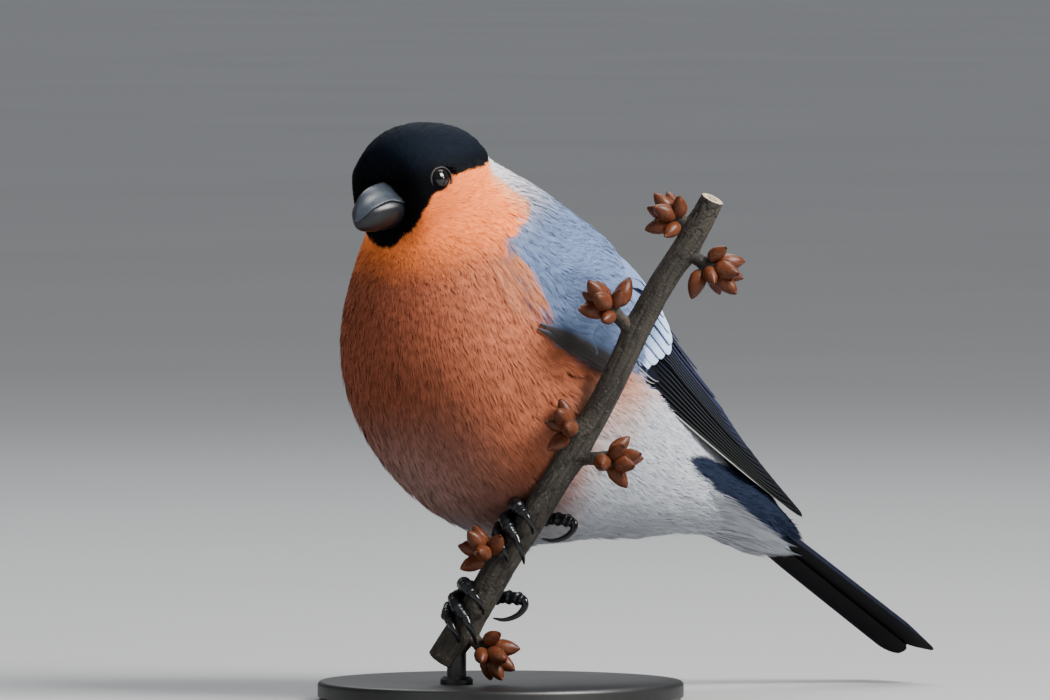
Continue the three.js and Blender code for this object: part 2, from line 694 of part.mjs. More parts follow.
function clusterForm({ height, turn, count, spur, lift, spread }) {
  const place = perchAt(height);
  const foot = roundPerch(place, turn, place.radius + GAP + 0.25, 0);
  const tip = roundPerch(place, turn, place.radius + GAP + spur, lift * spur);
  const outward = tip.clone().sub(foot).normalize();
  const side = outward.clone().cross(place.along).normalize();
  const upward = side.clone().cross(outward);
  const stem = rod(new THREE.CatmullRomCurve3([foot, tip]), (t) => 1 + 0.3 * t, 6, 1);
  const buds = Array.from({ length: count }, (_, i) => {
    const round = i * 2.4;
    const open = spread * Math.sqrt((i + 0.35) / count);
    const direction = outward.clone().multiplyScalar(Math.cos(open))
      .addScaledVector(upward, Math.sin(open) * Math.cos(round))
      .addScaledVector(side, Math.sin(open) * Math.sin(round));
    const root = tip.clone().addScaledVector(direction, 0.55 * BUD.knob);
    return budForm(root, direction, 0.93 + 0.13 * Math.sin(3 * i + height));
  });
  return joined([stem, ball(tip, BUD.knob), ...buds]).subtract(perchForm(GAP));
}

// Stand
function standBase() {
  const { radius, thick, bevel } = BASE;
  const profile = [[0, 0], [radius, 0], [radius, thick - bevel], [radius - bevel, thick], [0, thick]];
  const disc = new THREE.LatheGeometry(profile.map((p) => new THREE.Vector2(...p)), 48);
  const centre = seen(BASE.u, BASE.bottom, BASE.w);
  const place = new THREE.Matrix4().compose(
    centre, new THREE.Quaternion().setFromAxisAngle(vector(1, 0, 0), Math.PI / 2), vector(1, 1, 1));
  return solidOf(disc, place);
}

function standRod() {
  const foot = BASE.bottom + BASE.thick + GAP;
  const height = 14;
  const centre = seen(ROD.u, foot + height / 2, ROD.w);
  const place = new THREE.Matrix4().compose(
    centre, new THREE.Quaternion().setFromAxisAngle(vector(1, 0, 0), Math.PI / 2), vector(1, 1, 1));
  const pieces = solidOf(new THREE.CylinderGeometry(ROD.radius, ROD.radius, height, 24), place)
    .subtract(perchForm(GAP)).decompose();
  return pieces.reduce((low, piece) => (piece.boundingBox().min[2] < low.boundingBox().min[2] ? piece : low));
}

const legs = FEET.flatMap((foot) => [puffForm(foot, GAP), footForm(foot, GAP)]);
const beds = [wingBed(), mirrored(wingBed()), tailSlot(), perchForm(GAP)];
const [head, neck, torso, rump] = fleshParts([...beds, ...legs]);
put('head', head, 'cap');
put('neck', neck, 'mantle');
put('torso', torso, 'breast');
put('rump', rump, 'vent');

const billBody = [-1, 1].reduce((bill, side) => bill.subtract(nostril(side)), billForm());
const [billUpper, billLower] = billBody.subtract(mouthCutter()).decompose()
  .filter((piece) => piece.volume() > 5)
  .sort((a, b) => b.boundingBox().max[2] - a.boundingBox().max[2]);
put('bill_upper', billUpper, 'bill');
put('bill_lower', billLower, 'bill');
put('eye_left', eyeBall(1, 0), 'eye');
put('eye_right', eyeBall(-1, 0), 'eye');
put('wing_left', wingForm(), 'wing');
put('wing_right', mirrored(wingForm()), 'wing');
put('tail', tailForm(), 'tail');
FEET.forEach((foot) => {
  put(`thigh_${foot.name}`, puffForm(foot, 0), 'vent');
  put(`foot_${foot.name}`, footForm(foot).subtract(puffForm(foot, GAP)), 'leg');
  clawForms(foot).forEach((claw, i) => put(`claw_${foot.name}_${i + 1}`, claw, 'claw'));
});
CLUSTERS.forEach((cluster, i) => put(`perch_buds_${i + 1}`, clusterForm(cluster), 'bud'));
put('perch_twig', perchForm(0), 'bark');
put('stand_rod', standRod(), 'stand');
put('stand_base', standBase(), 'stand');

const extent = new THREE.Box3().setFromObject(bird);
const middle = extent.getCenter(vector(0, 0, 0));
bird.position.set(-middle.x, -middle.y, -extent.min.z);

export default bird;
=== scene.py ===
# %% [markdown]
# # A bullfinch on its twig
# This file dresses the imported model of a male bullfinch. The frame gives the solids at their
# real size, and every piece made here goes where the solids say. Places are written in the
# bird's own millimetres: the origin is in the middle of the body, the bird faces -Y and its left
# side is at +X. The middle of the stand's base ties those places to the frame, so that the
# pieces move with the solids.

# %% The fixed frame
import math

import bpy
import bmesh
import numpy as np
from mathutils import Matrix, Vector
from mathutils.bvhtree import BVHTree
from mathutils.kdtree import KDTree


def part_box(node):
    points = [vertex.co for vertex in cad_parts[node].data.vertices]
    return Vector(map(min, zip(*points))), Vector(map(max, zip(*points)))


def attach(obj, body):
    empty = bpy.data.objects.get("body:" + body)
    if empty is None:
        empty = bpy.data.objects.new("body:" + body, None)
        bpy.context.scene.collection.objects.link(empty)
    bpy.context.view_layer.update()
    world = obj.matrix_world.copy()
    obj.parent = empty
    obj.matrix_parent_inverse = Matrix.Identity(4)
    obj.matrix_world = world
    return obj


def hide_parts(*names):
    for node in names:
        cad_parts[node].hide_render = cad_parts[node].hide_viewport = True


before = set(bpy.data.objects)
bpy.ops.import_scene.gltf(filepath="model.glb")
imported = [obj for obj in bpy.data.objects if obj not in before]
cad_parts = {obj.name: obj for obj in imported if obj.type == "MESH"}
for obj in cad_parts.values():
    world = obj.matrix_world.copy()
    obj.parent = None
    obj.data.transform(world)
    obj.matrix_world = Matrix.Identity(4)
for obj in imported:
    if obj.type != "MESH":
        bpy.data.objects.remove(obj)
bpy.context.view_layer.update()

rng = np.random.default_rng(11)
MM = 0.001
HANDS = ((1, "left"), (-1, "right"))
STAND_SEAT = np.array([0.291, 7.205, -64.7])
low, high = (np.array(corner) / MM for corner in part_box("stand_base"))
SHIFT = np.array([(low[0] + high[0]) / 2, (low[1] + high[1]) / 2, low[2]]) - STAND_SEAT


def to_frame(points):
    return (np.asarray(points) + SHIFT) * MM


def from_frame(points):
    return np.asarray(points) / MM - SHIFT


print("the bird's origin in the frame, mm:", SHIFT.round(3))

# %% [markdown]
# The camera stands where the photo was taken from: to the bird's left and ahead of it, a little
# above, and far away with a long lens, so that nothing looms. The plane of the picture gives
# two more directions that the twig is laid along.

# %% Camera
VIEW_TURN, VIEW_RISE = math.radians(54), math.radians(2)
LENS, FRAME_WIDTH = 500, 205.9
AIM = (10.78, 3.92)
RIGHT = np.array([math.cos(VIEW_TURN), math.sin(VIEW_TURN), 0])
TOWARD_FLAT = np.array([math.sin(VIEW_TURN), -math.cos(VIEW_TURN), 0])
TOWARD = TOWARD_FLAT * math.cos(VIEW_RISE) + np.array([0, 0, math.sin(VIEW_RISE)])
UP = np.cross(TOWARD, RIGHT)


def seen(u, v, w):
    return RIGHT * u + TOWARD_FLAT * w + np.array([0, 0, v])


camera = bpy.data.objects.new("camera", bpy.data.cameras.new("camera"))
bpy.context.scene.collection.objects.link(camera)
bpy.context.scene.camera = camera
camera.data.lens = LENS
reach = FRAME_WIDTH * LENS / camera.data.sensor_width
camera.location = to_frame(RIGHT * AIM[0] + UP * AIM[1] + TOWARD * reach)
camera.rotation_mode = "QUATERNION"
camera.rotation_quaternion = Vector(-TOWARD).to_track_quat("-Z", "Y")
camera.data.clip_start, camera.data.clip_end = 0.1, 60
print("camera distance, m:", round(reach * MM, 3))

# %% [markdown]
# Soft light from large lamps keeps the feathers gentle, as a thin cloud does. The main lamp
# stands to the right and above, because the catch light sits there in the eye. One bright sky
# picture could do all of it, but single lamps are easier to place and to weigh against each
# other. A broad sun from behind and above lights the back and the floor evenly.

# %% Light
LAMP_AWAY = 1100
LAMPS = [
    ("key_lamp", (108, 40), 0.5, 33, (1, 0.985, 0.955), "AREA"),
    ("fill_lamp", (10, 20), 0.9, 1.3, (0.93, 0.96, 1), "AREA"),
    ("back_lamp", (-120, 50), 0.8, 8, (0.95, 0.97, 1), "AREA"),
    ("sky_sun", (-170, 70), 40, 1.5, (0.93, 0.96, 1), "SUN"),
]
SKY_COLOUR, SKY_STRENGTH = (0.82, 0.86, 0.92, 1), 0.18


def lamp(name, place, size, power, colour, kind):
    """An area lamp whose size is in metres, or a sun whose disc is that many degrees wide."""
    light = bpy.data.lights.new(name, kind)
    light.energy, light.color = power, colour
    if kind == "SUN":
        light.angle = math.radians(size)
    else:
        light.size = size
    holder = bpy.data.objects.new(name, light)
    holder.location = to_frame(place)
    holder.rotation_mode = "QUATERNION"
    holder.rotation_quaternion = Vector(-np.array(place)).to_track_quat("-Z", "Y")
    holder.visible_camera = False
    bpy.context.scene.collection.objects.link(holder)


def about(turn, rise, away):
    a, e = math.radians(turn), math.radians(rise)
    return np.array([math.sin(a) * math.cos(e), -math.cos(a) * math.cos(e), math.sin(e)]) * away


for name, (turn, rise), size, power, colour, kind in LAMPS:
    lamp(name, about(turn, rise, LAMP_AWAY), size, power, colour, kind)
world = bpy.data.worlds.new("sky")
bpy.context.scene.world = world
world.use_nodes = True
sky = world.node_tree.nodes["Background"]
sky.inputs["Color"].default_value = SKY_COLOUR
sky.inputs["Strength"].default_value = SKY_STRENGTH
print("lamps:", [row[0] for row in LAMPS])

# %% [markdown]
# Every piece is made from arrays of points and faces, because a coat of feathers is far too many
# shapes to model by hand. One helper turns the arrays into a mesh in the frame, a second puts
# it on the bird's only body and hides the solids it stands for, and the others lay colours,
# measures and a UV map on its points.

# %% Making a piece


def mesh_object(name, points, faces, material=None, smooth=True):
    mesh = bpy.data.meshes.new(name)
    groups = faces if isinstance(faces, list) else [faces]
    groups = [np.asarray(group) for group in groups if len(group)]
    corners = np.concatenate([group.ravel() for group in groups])
    counts = np.concatenate([np.full(len(group), group.shape[1]) for group in groups])
    mesh.vertices.add(len(points))
    mesh.vertices.foreach_set("co", np.asarray(to_frame(points), np.float32).ravel())
    mesh.loops.add(len(corners))
    mesh.loops.foreach_set("vertex_index", corners.astype(np.int32))
    mesh.polygons.add(len(counts))
    mesh.polygons.foreach_set("loop_start", np.concatenate([[0], np.cumsum(counts)[:-1]]).astype(np.int32))
    mesh.polygons.foreach_set("use_smooth", np.full(len(counts), smooth))
    mesh.update(calc_edges=True)
    mesh.validate()
    if material:
        mesh.materials.append(material)
    thing = bpy.data.objects.new(name, mesh)
    bpy.context.scene.collection.objects.link(thing)
    return thing


def settle(thing, slot, *nodes):
    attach(thing, "root")
    if nodes:
        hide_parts(*nodes)
    thing.data.calc_loop_triangles()
    print(thing.name, len(thing.data.loop_triangles), "triangles")
    return thing


def paint(thing, name, values):
    layer = thing.data.color_attributes.new(name, "FLOAT_COLOR", "POINT")
    rgba = np.ones((len(thing.data.vertices), 4), np.float32)
    rgba[:, :3] = values
    layer.data.foreach_set("color", rgba.ravel())


def measure(thing, name, values):
    """Numbers or directions on the points, for a finish or a Geometry Nodes tree to read."""
    values = np.asarray(values, np.float32)
    kind, field = ("FLOAT", "value") if values.ndim == 1 else ("FLOAT_VECTOR", "vector")
    layer = thing.data.attributes.new(name, kind, "POINT")
    layer.data.foreach_set(field, values.ravel())


def lay_uv(thing, uv):
    layer = thing.data.uv_layers.new(name="OFBake")
    corner = np.empty(len(thing.data.loops), np.int32)
    thing.data.loops.foreach_get("vertex_index", corner)
    layer.data.foreach_set("uv", np.asarray(uv, np.float32)[corner].ravel())


# %% [markdown]
# A material is a short list of shader values, plus a few nodes for colour and bump. Node trees
# are hard to read as code, so this helper adds a node, sets its inputs and returns it, and a
# finish reads like a recipe. A uniform value sits on the shader's own socket.

# %% Making a finish


class Finish:
    def __init__(self, name, **values):
        self.material = bpy.data.materials.new(name)
        self.material.use_nodes = True
        self.tree = self.material.node_tree
        self.shader = self.tree.nodes["Principled BSDF"]
        for socket, value in values.items():
            self.shader.inputs[socket.replace("_", " ")].default_value = value

    def add(self, kind, inputs=None, **settings):
        node = self.tree.nodes.new(kind)
        for key, value in settings.items():
            setattr(node, key, value)
        for key, value in (inputs or {}).items():
            socket = node.inputs[key]
            if isinstance(value, bpy.types.NodeSocket):
                self.tree.links.new(value, socket)
            else:
                socket.default_value = value
        return node

    def place(self, attribute=None):
        if attribute:
            return self.add("ShaderNodeAttribute", attribute_name=attribute).outputs["Vector"]
        return self.add("ShaderNodeTexCoord").outputs["Object"]

    def painted(self):
        """The colour that paint laid on the points."""
        return self.add("ShaderNodeAttribute", attribute_name="plumage").outputs["Color"]

    def noise(self, where, scale, detail=3, rough=0.6, stretch=(1, 1, 1)):
        mapped = self.add("ShaderNodeMapping", {"Vector": where, "Scale": stretch}).outputs["Vector"]
        values = {"Vector": mapped, "Scale": scale, "Detail": detail, "Roughness": rough}
        return self.add("ShaderNodeTexNoise", values).outputs["Fac"]

    def ramp(self, factor, *stops):
        node = self.add("ShaderNodeValToRGB", {"Fac": factor})
        marks = node.color_ramp.elements
        while len(marks) < len(stops):
            marks.new(0.5)
        for mark, (place, colour) in zip(marks, stops):
            mark.position = place
            mark.color = (*colour, 1)
        return node.outputs["Color"]

    def mottle(self, scale, *stops):
        """Colours that wander into one another over the piece."""
        return self.ramp(self.noise(self.place(), scale), *stops)

    def mix(self, factor, first, second, blend="MIX"):
        node = self.add("ShaderNodeMix", data_type="RGBA", blend_type=blend)
        for key, value in {"Factor": factor, "A": first, "B": second}.items():
            socket = next(s for s in node.inputs if s.name == key and s.enabled)
            if isinstance(value, bpy.types.NodeSocket):
                self.tree.links.new(value, socket)
            else:
                socket.default_value = value if key == "Factor" else (*value, 1)
        return next(s for s in node.outputs if s.enabled)

    def colour(self, socket):
        self.tree.links.new(socket, self.shader.inputs["Base Color"])

    def rough(self, factor, low, high):
        values = {"Value": factor, "To Min": low, "To Max": high}
        node = self.add("ShaderNodeMapRange", values)
        self.tree.links.new(node.outputs["Result"], self.shader.inputs["Roughness"])

    def bump(self, height, strength, distance):
        values = {"Height": height, "Strength": strength, "Distance": distance}
        node = self.add("ShaderNodeBump", values)
        self.tree.links.new(node.outputs["Normal"], self.shader.inputs["Normal"])

    def grain(self, scale, strength, distance, **noise):
        """A fine unevenness all over the piece."""
        self.bump(self.noise(self.place(), scale, **noise), strength, distance)


def grey(level):
    return (level, level, level)


# %% [markdown]
# The floor is plain and pale. It is so wide that its far edge lies above the picture, so it is
# the backdrop too, and no wall stands behind the bird when it is seen from its other sides.

# %% Floor
FLOOR_REACH, FLOOR_DROP = 20000, 0.3
pale = Finish("pale_backdrop", Roughness=0.9)
pale.colour(pale.mottle(3, (0.3, grey(0.31)), (0.7, grey(0.33))))
floor_z = -SHIFT[2] - FLOOR_DROP
corners = [(x * FLOOR_REACH, y * FLOOR_REACH, floor_z) for x, y in ((-1, -1), (1, -1), (1, 1), (-1, 1))]
floor = mesh_object("pale_floor", corners, np.array([[0, 1, 2, 3]]), pale.material)
print("the floor lies", FLOOR_DROP, "mm under the stand")

# %% [markdown]
# The solids follow smooth lines through a few stations. The same lines are needed here, so this
# is the same spline: one form passes its points at an even pace, the other is uniform. The
# head and the trunk each get a way to write a place in their own terms, and a way to read it
# back: ahead, aside and above for the head, along and round for the trunk.

# %% Lines and places


def spline(points, t, even=True):
    points = np.asarray(points, float)
    place = np.clip(np.asarray(t, float), 0, 1) * (len(points) - 1)
    index = np.minimum(place.astype(int), len(points) - 2)
    w = (place - index)[..., None]
    first, last = points[0], points[-1]
    if even:
        first, last = 2 * points[0] - points[1], 2 * points[-1] - points[-2]
    padded = np.vstack([first, points, last])
    p0, p1, p2, p3 = (padded[index + k] for k in range(4))
    if even:
        a, b, c = (np.maximum(np.linalg.norm(e - s, axis=-1, keepdims=True), 1e-4) ** 0.5
                   for s, e in ((p0, p1), (p1, p2), (p2, p3)))
        m1 = ((p1 - p0) / a - (p2 - p0) / (a + b) + (p2 - p1) / b) * b
        m2 = ((p2 - p1) / b - (p3 - p1) / (b + c) + (p3 - p2) / c) * b
    else:
        m1, m2 = (p2 - p0) / 2, (p3 - p1) / 2
    return p1 + m1 * w + (3 * (p2 - p1) - 2 * m1 - m2) * w**2 + (2 * (p1 - p2) + m1 + m2) * w**3


def unit(vectors):
    return vectors / np.maximum(np.linalg.norm(vectors, axis=-1, keepdims=True), 1e-9)


def smoothstep(low, high, x):
    x = np.clip((x - low) / (high - low), 0, 1)
    return x * x * (3 - 2 * x)


def lerp(a, b, x):
    return a + (b - a) * x


def blend(base, other, share):
    """Colours or directions mixed place by place."""
    return lerp(base, other, share[..., None])


def xyz(x, y, z):
    """Points from three numbers or grids."""
    return np.stack(np.broadcast_arrays(x, y, z), -1)


def spins(sides):
    """Angles once round a ring."""
    return np.linspace(0, 2 * np.pi, sides, endpoint=False)


HEAD_AT, HEAD_TURN, HEAD_DIP = np.array([0.5, -12.7, 37.2]), math.radians(14), math.radians(10)
HEAD_SPIN = np.array(Matrix.Rotation(HEAD_TURN, 3, "Z") @ Matrix.Rotation(HEAD_DIP, 3, "X"))


def on_head(f, l, h):
    return xyz(l, -np.asarray(f, float), h) @ HEAD_SPIN.T + HEAD_AT


def head_place(points):
    local = (points - HEAD_AT) @ HEAD_SPIN
    return -local[..., 1], local[..., 0], local[..., 2]


def near_head(points, far=24, close=20):
    """1 at the head, 0 beyond it."""
    return smoothstep(far, close, np.linalg.norm(points - HEAD_AT, axis=-1))


# Stations of the trunk: y, z, half width and half height
TRUNK = np.array([
    (-10, 38, 10, 10.5), (-5, 26, 18, 20.5), (0.5, 13, 24.5, 29), (7.5, 0.5, 26.5, 31),
    (19.5, -9.8, 25.2, 27.6), (35, -18, 19.5, 19), (52, -24, 12, 10), (66, -29.2, 8.6, 6.2),
    (79, -37.2, 4.5, 2.2),
])
TRUNK_STEPS = np.linspace(0, 1, 241)
TRUNK_LINE = spline(TRUNK[:, :2], TRUNK_STEPS)
TRUNK_GIRTH = spline(TRUNK[:, 2:], TRUNK_STEPS, even=False)
TRUNK_WAY = unit(np.gradient(TRUNK_LINE, axis=0))
print("the trunk is", np.linalg.norm(np.diff(TRUNK_LINE, axis=0), axis=-1).sum().round(1), "mm long")


def trunk_place(points):
    """Along the trunk from 0 at the head to 1 at the tail, and round it in degrees.

    The back is at 0 and the belly at 180, with the left side positive. The third result is the
    trunk's direction there.
    """
    flat = points.reshape(-1, 3)
    nearest = np.empty(len(flat), int)
    batch = 20000
    for start in range(0, len(flat), batch):
        part = flat[start:start + batch, None, 1:] - TRUNK_LINE[None]
        nearest[start:start + batch] = (part**2).sum(-1).argmin(1)
    way = TRUNK_WAY[nearest]
    off = ((flat[:, 1:] - TRUNK_LINE[nearest]) * np.stack([-way[:, 1], way[:, 0]], -1)).sum(-1)
    girth = TRUNK_GIRTH[nearest]
    round_ = np.degrees(np.arctan2(flat[:, 0] / girth[:, 0], off / girth[:, 1]))
    shape = points.shape[:-1]
    return TRUNK_STEPS[nearest].reshape(shape), round_.reshape(shape), way.reshape(*shape, 2)


# %% [markdown]
# A bullfinch has a black cap and chin, a rose-orange cheek and breast, a blue-grey mantle, a
# white belly, vent and rump, and glossy blue-black coverts over the tail. The markings could be
# painted on an image, but then skin and feathers would need the same one. Here they are one
# function of place, and skin and feathers both ask it for their colour. Each edge between two
# fields is a short table, and a wandering value makes it ragged, as feather tips do.

# %% Colours and edges
BLACK, NAVY = np.array([0.0022, 0.0024, 0.0030]), np.array([0.010, 0.016, 0.036])
CAP_SHEEN = np.array([0.0040, 0.0066, 0.0125])
CHEEK, PEACH = np.array([0.96, 0.232, 0.050]), np.array([0.76, 0.38, 0.21])
# Breast and lower breast are painted darker than the cheek: painted shade on the lower front.
SHADED_BREAST, SHADED_BRICK = np.array([0.335, 0.093, 0.048]), np.array([0.215, 0.062, 0.032])
FLANK, BLUSH = np.array([0.52, 0.155, 0.075]), np.array([0.60, 0.34, 0.25])
MANTLE, NAPE = np.array([0.142, 0.200, 0.345]), np.array([0.60, 0.56, 0.58])
# The second colour here is painted shade, a grey-brown laid under the lower breast.
WHITE, UNDERSIDE_SHADE = np.array([0.46, 0.485, 0.53]), np.array([0.378, 0.3255, 0.3168])
# The cap's lower edge: degrees from the bill, and height on the head
CAP_EDGE = np.array([
    (0, -11.3), (15, -10.8), (23, -9.8), (35, -7.9), (43, -3.9), (49, -2.2), (57, -0.7), (66, 0.1), (72, 1.5),
    (78, 2.3), (86, 2.6), (97, 2.4), (121, 1.6), (150, 2.8), (180, 3.4),
])
# The mantle's lower edge: along the trunk, and degrees round it
MANTLE_EDGE = np.array([
    (0, 36), (0.068, 46), (0.105, 52), (0.125, 72), (0.133, 88), (0.16, 95), (0.22, 96), (0.3, 92),
    (0.4, 82), (0.49, 70), (0.62, 58), (0.7, 50), (1, 40),
])
# Where the white begins: degrees round the trunk, and along it
BELLY_EDGE = np.array([
    (0, 0.56), (60, 0.55), (71, 0.51), (85, 0.475), (100, 0.465), (140, 0.48), (180, 0.465),
])
# How far round the navy over the tail reaches: along the trunk, and degrees round it
NAVY_EDGE = np.array([(0.64, 80), (0.77, 98), (0.885, 120), (1, 128)])


def edge_at(table, place):
    return np.interp(place, table[:, 0], table[:, 1])


def waver(points, size, seed):
    """Smooth wandering values about 0, the same at the same place."""
    draw = np.random.default_rng(seed)
    total = 0
    for _ in range(5):
        way = draw.normal(size=3) / size
        total = total + np.sin(points @ way + draw.uniform(0, 6.28))
    return total / 3


print("colours:", dict(cheek=CHEEK, breast=SHADED_BREAST, mantle=MANTLE, white=WHITE))

# %% Markings


def front_colour(points, h, along, side, ragged):
    """Rose-orange in front, brightest on the cheek, and darker down the breast and under it as painted shade.
    """
    colour = blend(np.broadcast_to(CHEEK, points.shape), SHADED_BREAST, smoothstep(-9, -20, h + 0.5 * ragged))
    colour = blend(colour, SHADED_BRICK, smoothstep(0.16, 0.36, along))
    flank = smoothstep(62, 98, side) * smoothstep(150, 106, side) * smoothstep(0.1, 0.18, along)
    colour = blend(colour, FLANK, 0.8 * flank)
    # Painted shade: the underside of the lower breast is dulled with grey-brown.
    return blend(colour, UNDERSIDE_SHADE, 0.35 * smoothstep(0.3, 0.4, along) * smoothstep(120, 180, side))


def plumage(points):
    f, l, h = head_place(points)
    along, round_, _ = trunk_place(points)
    side = np.abs(round_)
    ragged = waver(points, 1.1, 3)
    colour = front_colour(points, h, along, side, ragged)
    colour = blend(colour, PEACH, 0.85 * smoothstep(-6, -13, f) * smoothstep(-14, -8, h))
    # White from the belly back, through a blush on the flank
    edge = edge_at(BELLY_EDGE, side) + 0.012 * waver(points, 4, 5)
    colour = blend(colour, BLUSH, 0.8 * smoothstep(edge - 0.09, edge, along) * smoothstep(130, 100, side))
    colour = blend(colour, WHITE, smoothstep(edge - 0.035, edge + 0.09, along))
    # Blue-grey over the back, a little paler at the nape
    grey_part = smoothstep(3.5, -3.5, side - edge_at(MANTLE_EDGE, along) + 2.5 * ragged)
    grey_part = grey_part * smoothstep(0.64, 0.61, along)
    back = blend(np.broadcast_to(MANTLE, points.shape), NAPE, smoothstep(0.16, 0.04, along))
    colour = blend(colour, back, grey_part)
    # Navy over the root of the tail
    wedge = 0.78 - 0.11 * smoothstep(52, 82, side)
    navy = smoothstep(-0.006, 0.006, along - wedge + 0.01 * ragged)
    navy = navy * smoothstep(3, -3, side - edge_at(NAVY_EDGE, along) + 3 * ragged)
    colour = blend(colour, NAVY, navy)
    # Black cap and chin
    turn = np.degrees(np.arctan2(np.abs(l + 1.4 * smoothstep(-5, -9, h)), f))
    cap = smoothstep(-0.25, 0.25, h - edge_at(CAP_EDGE, turn) + 0.35 * ragged)
    cap_colour = lerp(BLACK, CAP_SHEEN, smoothstep(1, 8, h)[..., None])
    return blend(colour, cap_colour, cap * near_head(points))


print("cheek:", plumage(on_head(0, 12, -3)).round(3), "belly:", plumage(np.array([0, 20, -37.0])).round(3))

# %% [markdown]
# Bill, toes, claws, twig and spurs are all rods: rings of points along a line, closed at both
# ends. A curve with a bevel could make a plain rod, but these need bark, scutes or a mouth line
# in their rings, so the rings are worked out here. They are led along the line without twisting.

# %% Rods


def grid_faces(rows, columns, start=0, closed=False):
    here = start + np.arange(rows * columns).reshape(rows, columns)
    if closed:
        here = np.hstack([here, here[:, :1]])
    return np.stack([here[:-1, :-1], here[:-1, 1:], here[1:, 1:], here[1:, :-1]], -1).reshape(-1, 4)


def ring_frames(line):
    way = unit(np.gradient(line, axis=0))
    across = [unit(np.cross(way[0], [0.3, 0.2, 1.0]))]
    for step in way[1:]:
        across.append(unit(across[-1] - step * (across[-1] @ step)))
    across = np.array(across)
    return across, np.cross(way, across)


def capped(rings):
    """A closed form from rings of points, shape (rows, sides, 3)."""
    rows, sides = rings.shape[:2]
    points = np.vstack([rings.reshape(-1, 3), rings[0].mean(0), rings[-1].mean(0)])
    quads = grid_faces(rows, sides, closed=True)
    first, last = np.arange(sides), np.arange(sides) + (rows - 1) * sides
    caps = [np.stack([first, np.roll(first, -1), np.full(sides, rows * sides)], -1)[:, ::-1],
            np.stack([last, np.roll(last, -1), np.full(sides, rows * sides + 1)], -1)]
    a, b, c = (points[quads[:, k]] for k in range(3))
    middle = rings.mean(1)
    hint = (a + b + c) / 3 - middle[quads[:, 0] // sides]
    if (np.cross(b - a, c - a) * hint).sum() < 0:
        return points, [quads[:, ::-1], caps[0], caps[1]]
    return points, [quads, caps[0][:, ::-1], caps[1][:, ::-1]]


def rod_rings(line, radius, sides, relief=None, flat=1.0):
    """radius is one value for each point of the line. relief(round, along) is added to it."""
    across, up = ring_frames(line)
    turn = spins(sides)
    along = np.concatenate([[0], np.cumsum(np.linalg.norm(np.diff(line, axis=0), axis=-1))])
    size = np.broadcast_to(np.asarray(radius, float)[:, None], (len(line), sides))
    if relief:
        size = size + relief(turn[None, :], along[:, None])
    return (line[:, None] + across[:, None] * (size * np.cos(turn))[..., None]
            + up[:, None] * (size * flat * np.sin(turn))[..., None])


def gathered(forms):
    """Many forms as one: their points together, and their faces counted on."""
    points, faces, start = [], [], 0
    for form_points, parts in forms:
        points.append(form_points)
        faces.extend(part + start for part in (parts if isinstance(parts, list) else [parts]))
        start += len(form_points)
    return np.vstack(points), faces


def merged(name, forms, material):
    return mesh_object(name, *gathered(forms), material)


def ball(centre, radius, turn=np.eye(3), rows=24, sides=40):
    tilt = np.linspace(0.02, np.pi - 0.02, rows)[:, None]
    spin = spins(sides)
    local = xyz(np.sin(tilt) * np.cos(spin), np.sin(tilt) * np.sin(spin), np.cos(tilt)) * radius
    return capped(local @ turn.T + centre)


# %% [markdown]
# A folded wing is a curved sheet against the body, from the wrist to the tip. Its coverts sit on
# a rounded pad, and the long feathers leave the pad and lie over one another to the tip. Any
# place on the wing is written as t, from wrist to tip, and q, from the upper edge to the lower.

# %% Wing sheet
WING_UPPER = [[11.5, 3, 29.5], [9.2, 20.5, 21.6], [5.2, 38.6, 5.6], [2.6, 59, -13.6], [1.3, 79.5, -28.2]]
WING_LOWER = [[22.6, -3, 8], [23.6, 14, 0.6], [19.6, 33, -9.8], [11.8, 55, -20], [5, 77.5, -31.4]]
WING_BULGE = np.array([[0, 4], [1, 4.2], [2, 2.4], [3, 0.9], [4, 0.3]])
PAD_END, PAD_NOSE, PAD_EDGE, PAD_CROWN, PAD_COAT = 0.42, 0.13, 0.7, 3.2, 1.6


def beyond(line, t):
    inside = np.clip(t, 0, 1)
    a, b = np.clip(inside + 0.01, 0, 1), np.clip(inside - 0.01, 0, 1)
    slope = (spline(line, a) - spline(line, b)) / (a - b)[..., None]
    return spline(line, inside) + slope * (t - inside)[..., None]


def wing_sheet(t, q):
    t, q = np.broadcast_arrays(np.asarray(t, float), np.asarray(q, float))
    top, bottom = beyond(WING_UPPER, t), beyond(WING_LOWER, t)
    ahead = beyond(WING_UPPER, t + 0.02) - top
    rise = spline(WING_BULGE, np.clip(t, 0, 1), even=False)[..., 1] * 4 * q * (1 - q)
    return top + (bottom - top) * q[..., None] + unit(np.cross(bottom - top, ahead)) * rise[..., None]


def on_wing(t, q, lift, side=1):
    along = wing_sheet(t + 0.01, q) - wing_sheet(t - 0.01, q)
    across = wing_sheet(t, q + 0.02) - wing_sheet(t, q - 0.02)
    point = wing_sheet(t, q) + unit(np.cross(across, along)) * np.asarray(lift)[..., None]
    return point * np.array([side, 1, 1])


def outward(points, faces, hint):
    """The faces turned so that they look along the hint on the whole."""
    a, b, c = (points[faces[:, k]] for k in range(3))
    turn = (np.cross(b - a, c - a) * hint).sum()
    return faces[:, ::-1] if turn < 0 else faces


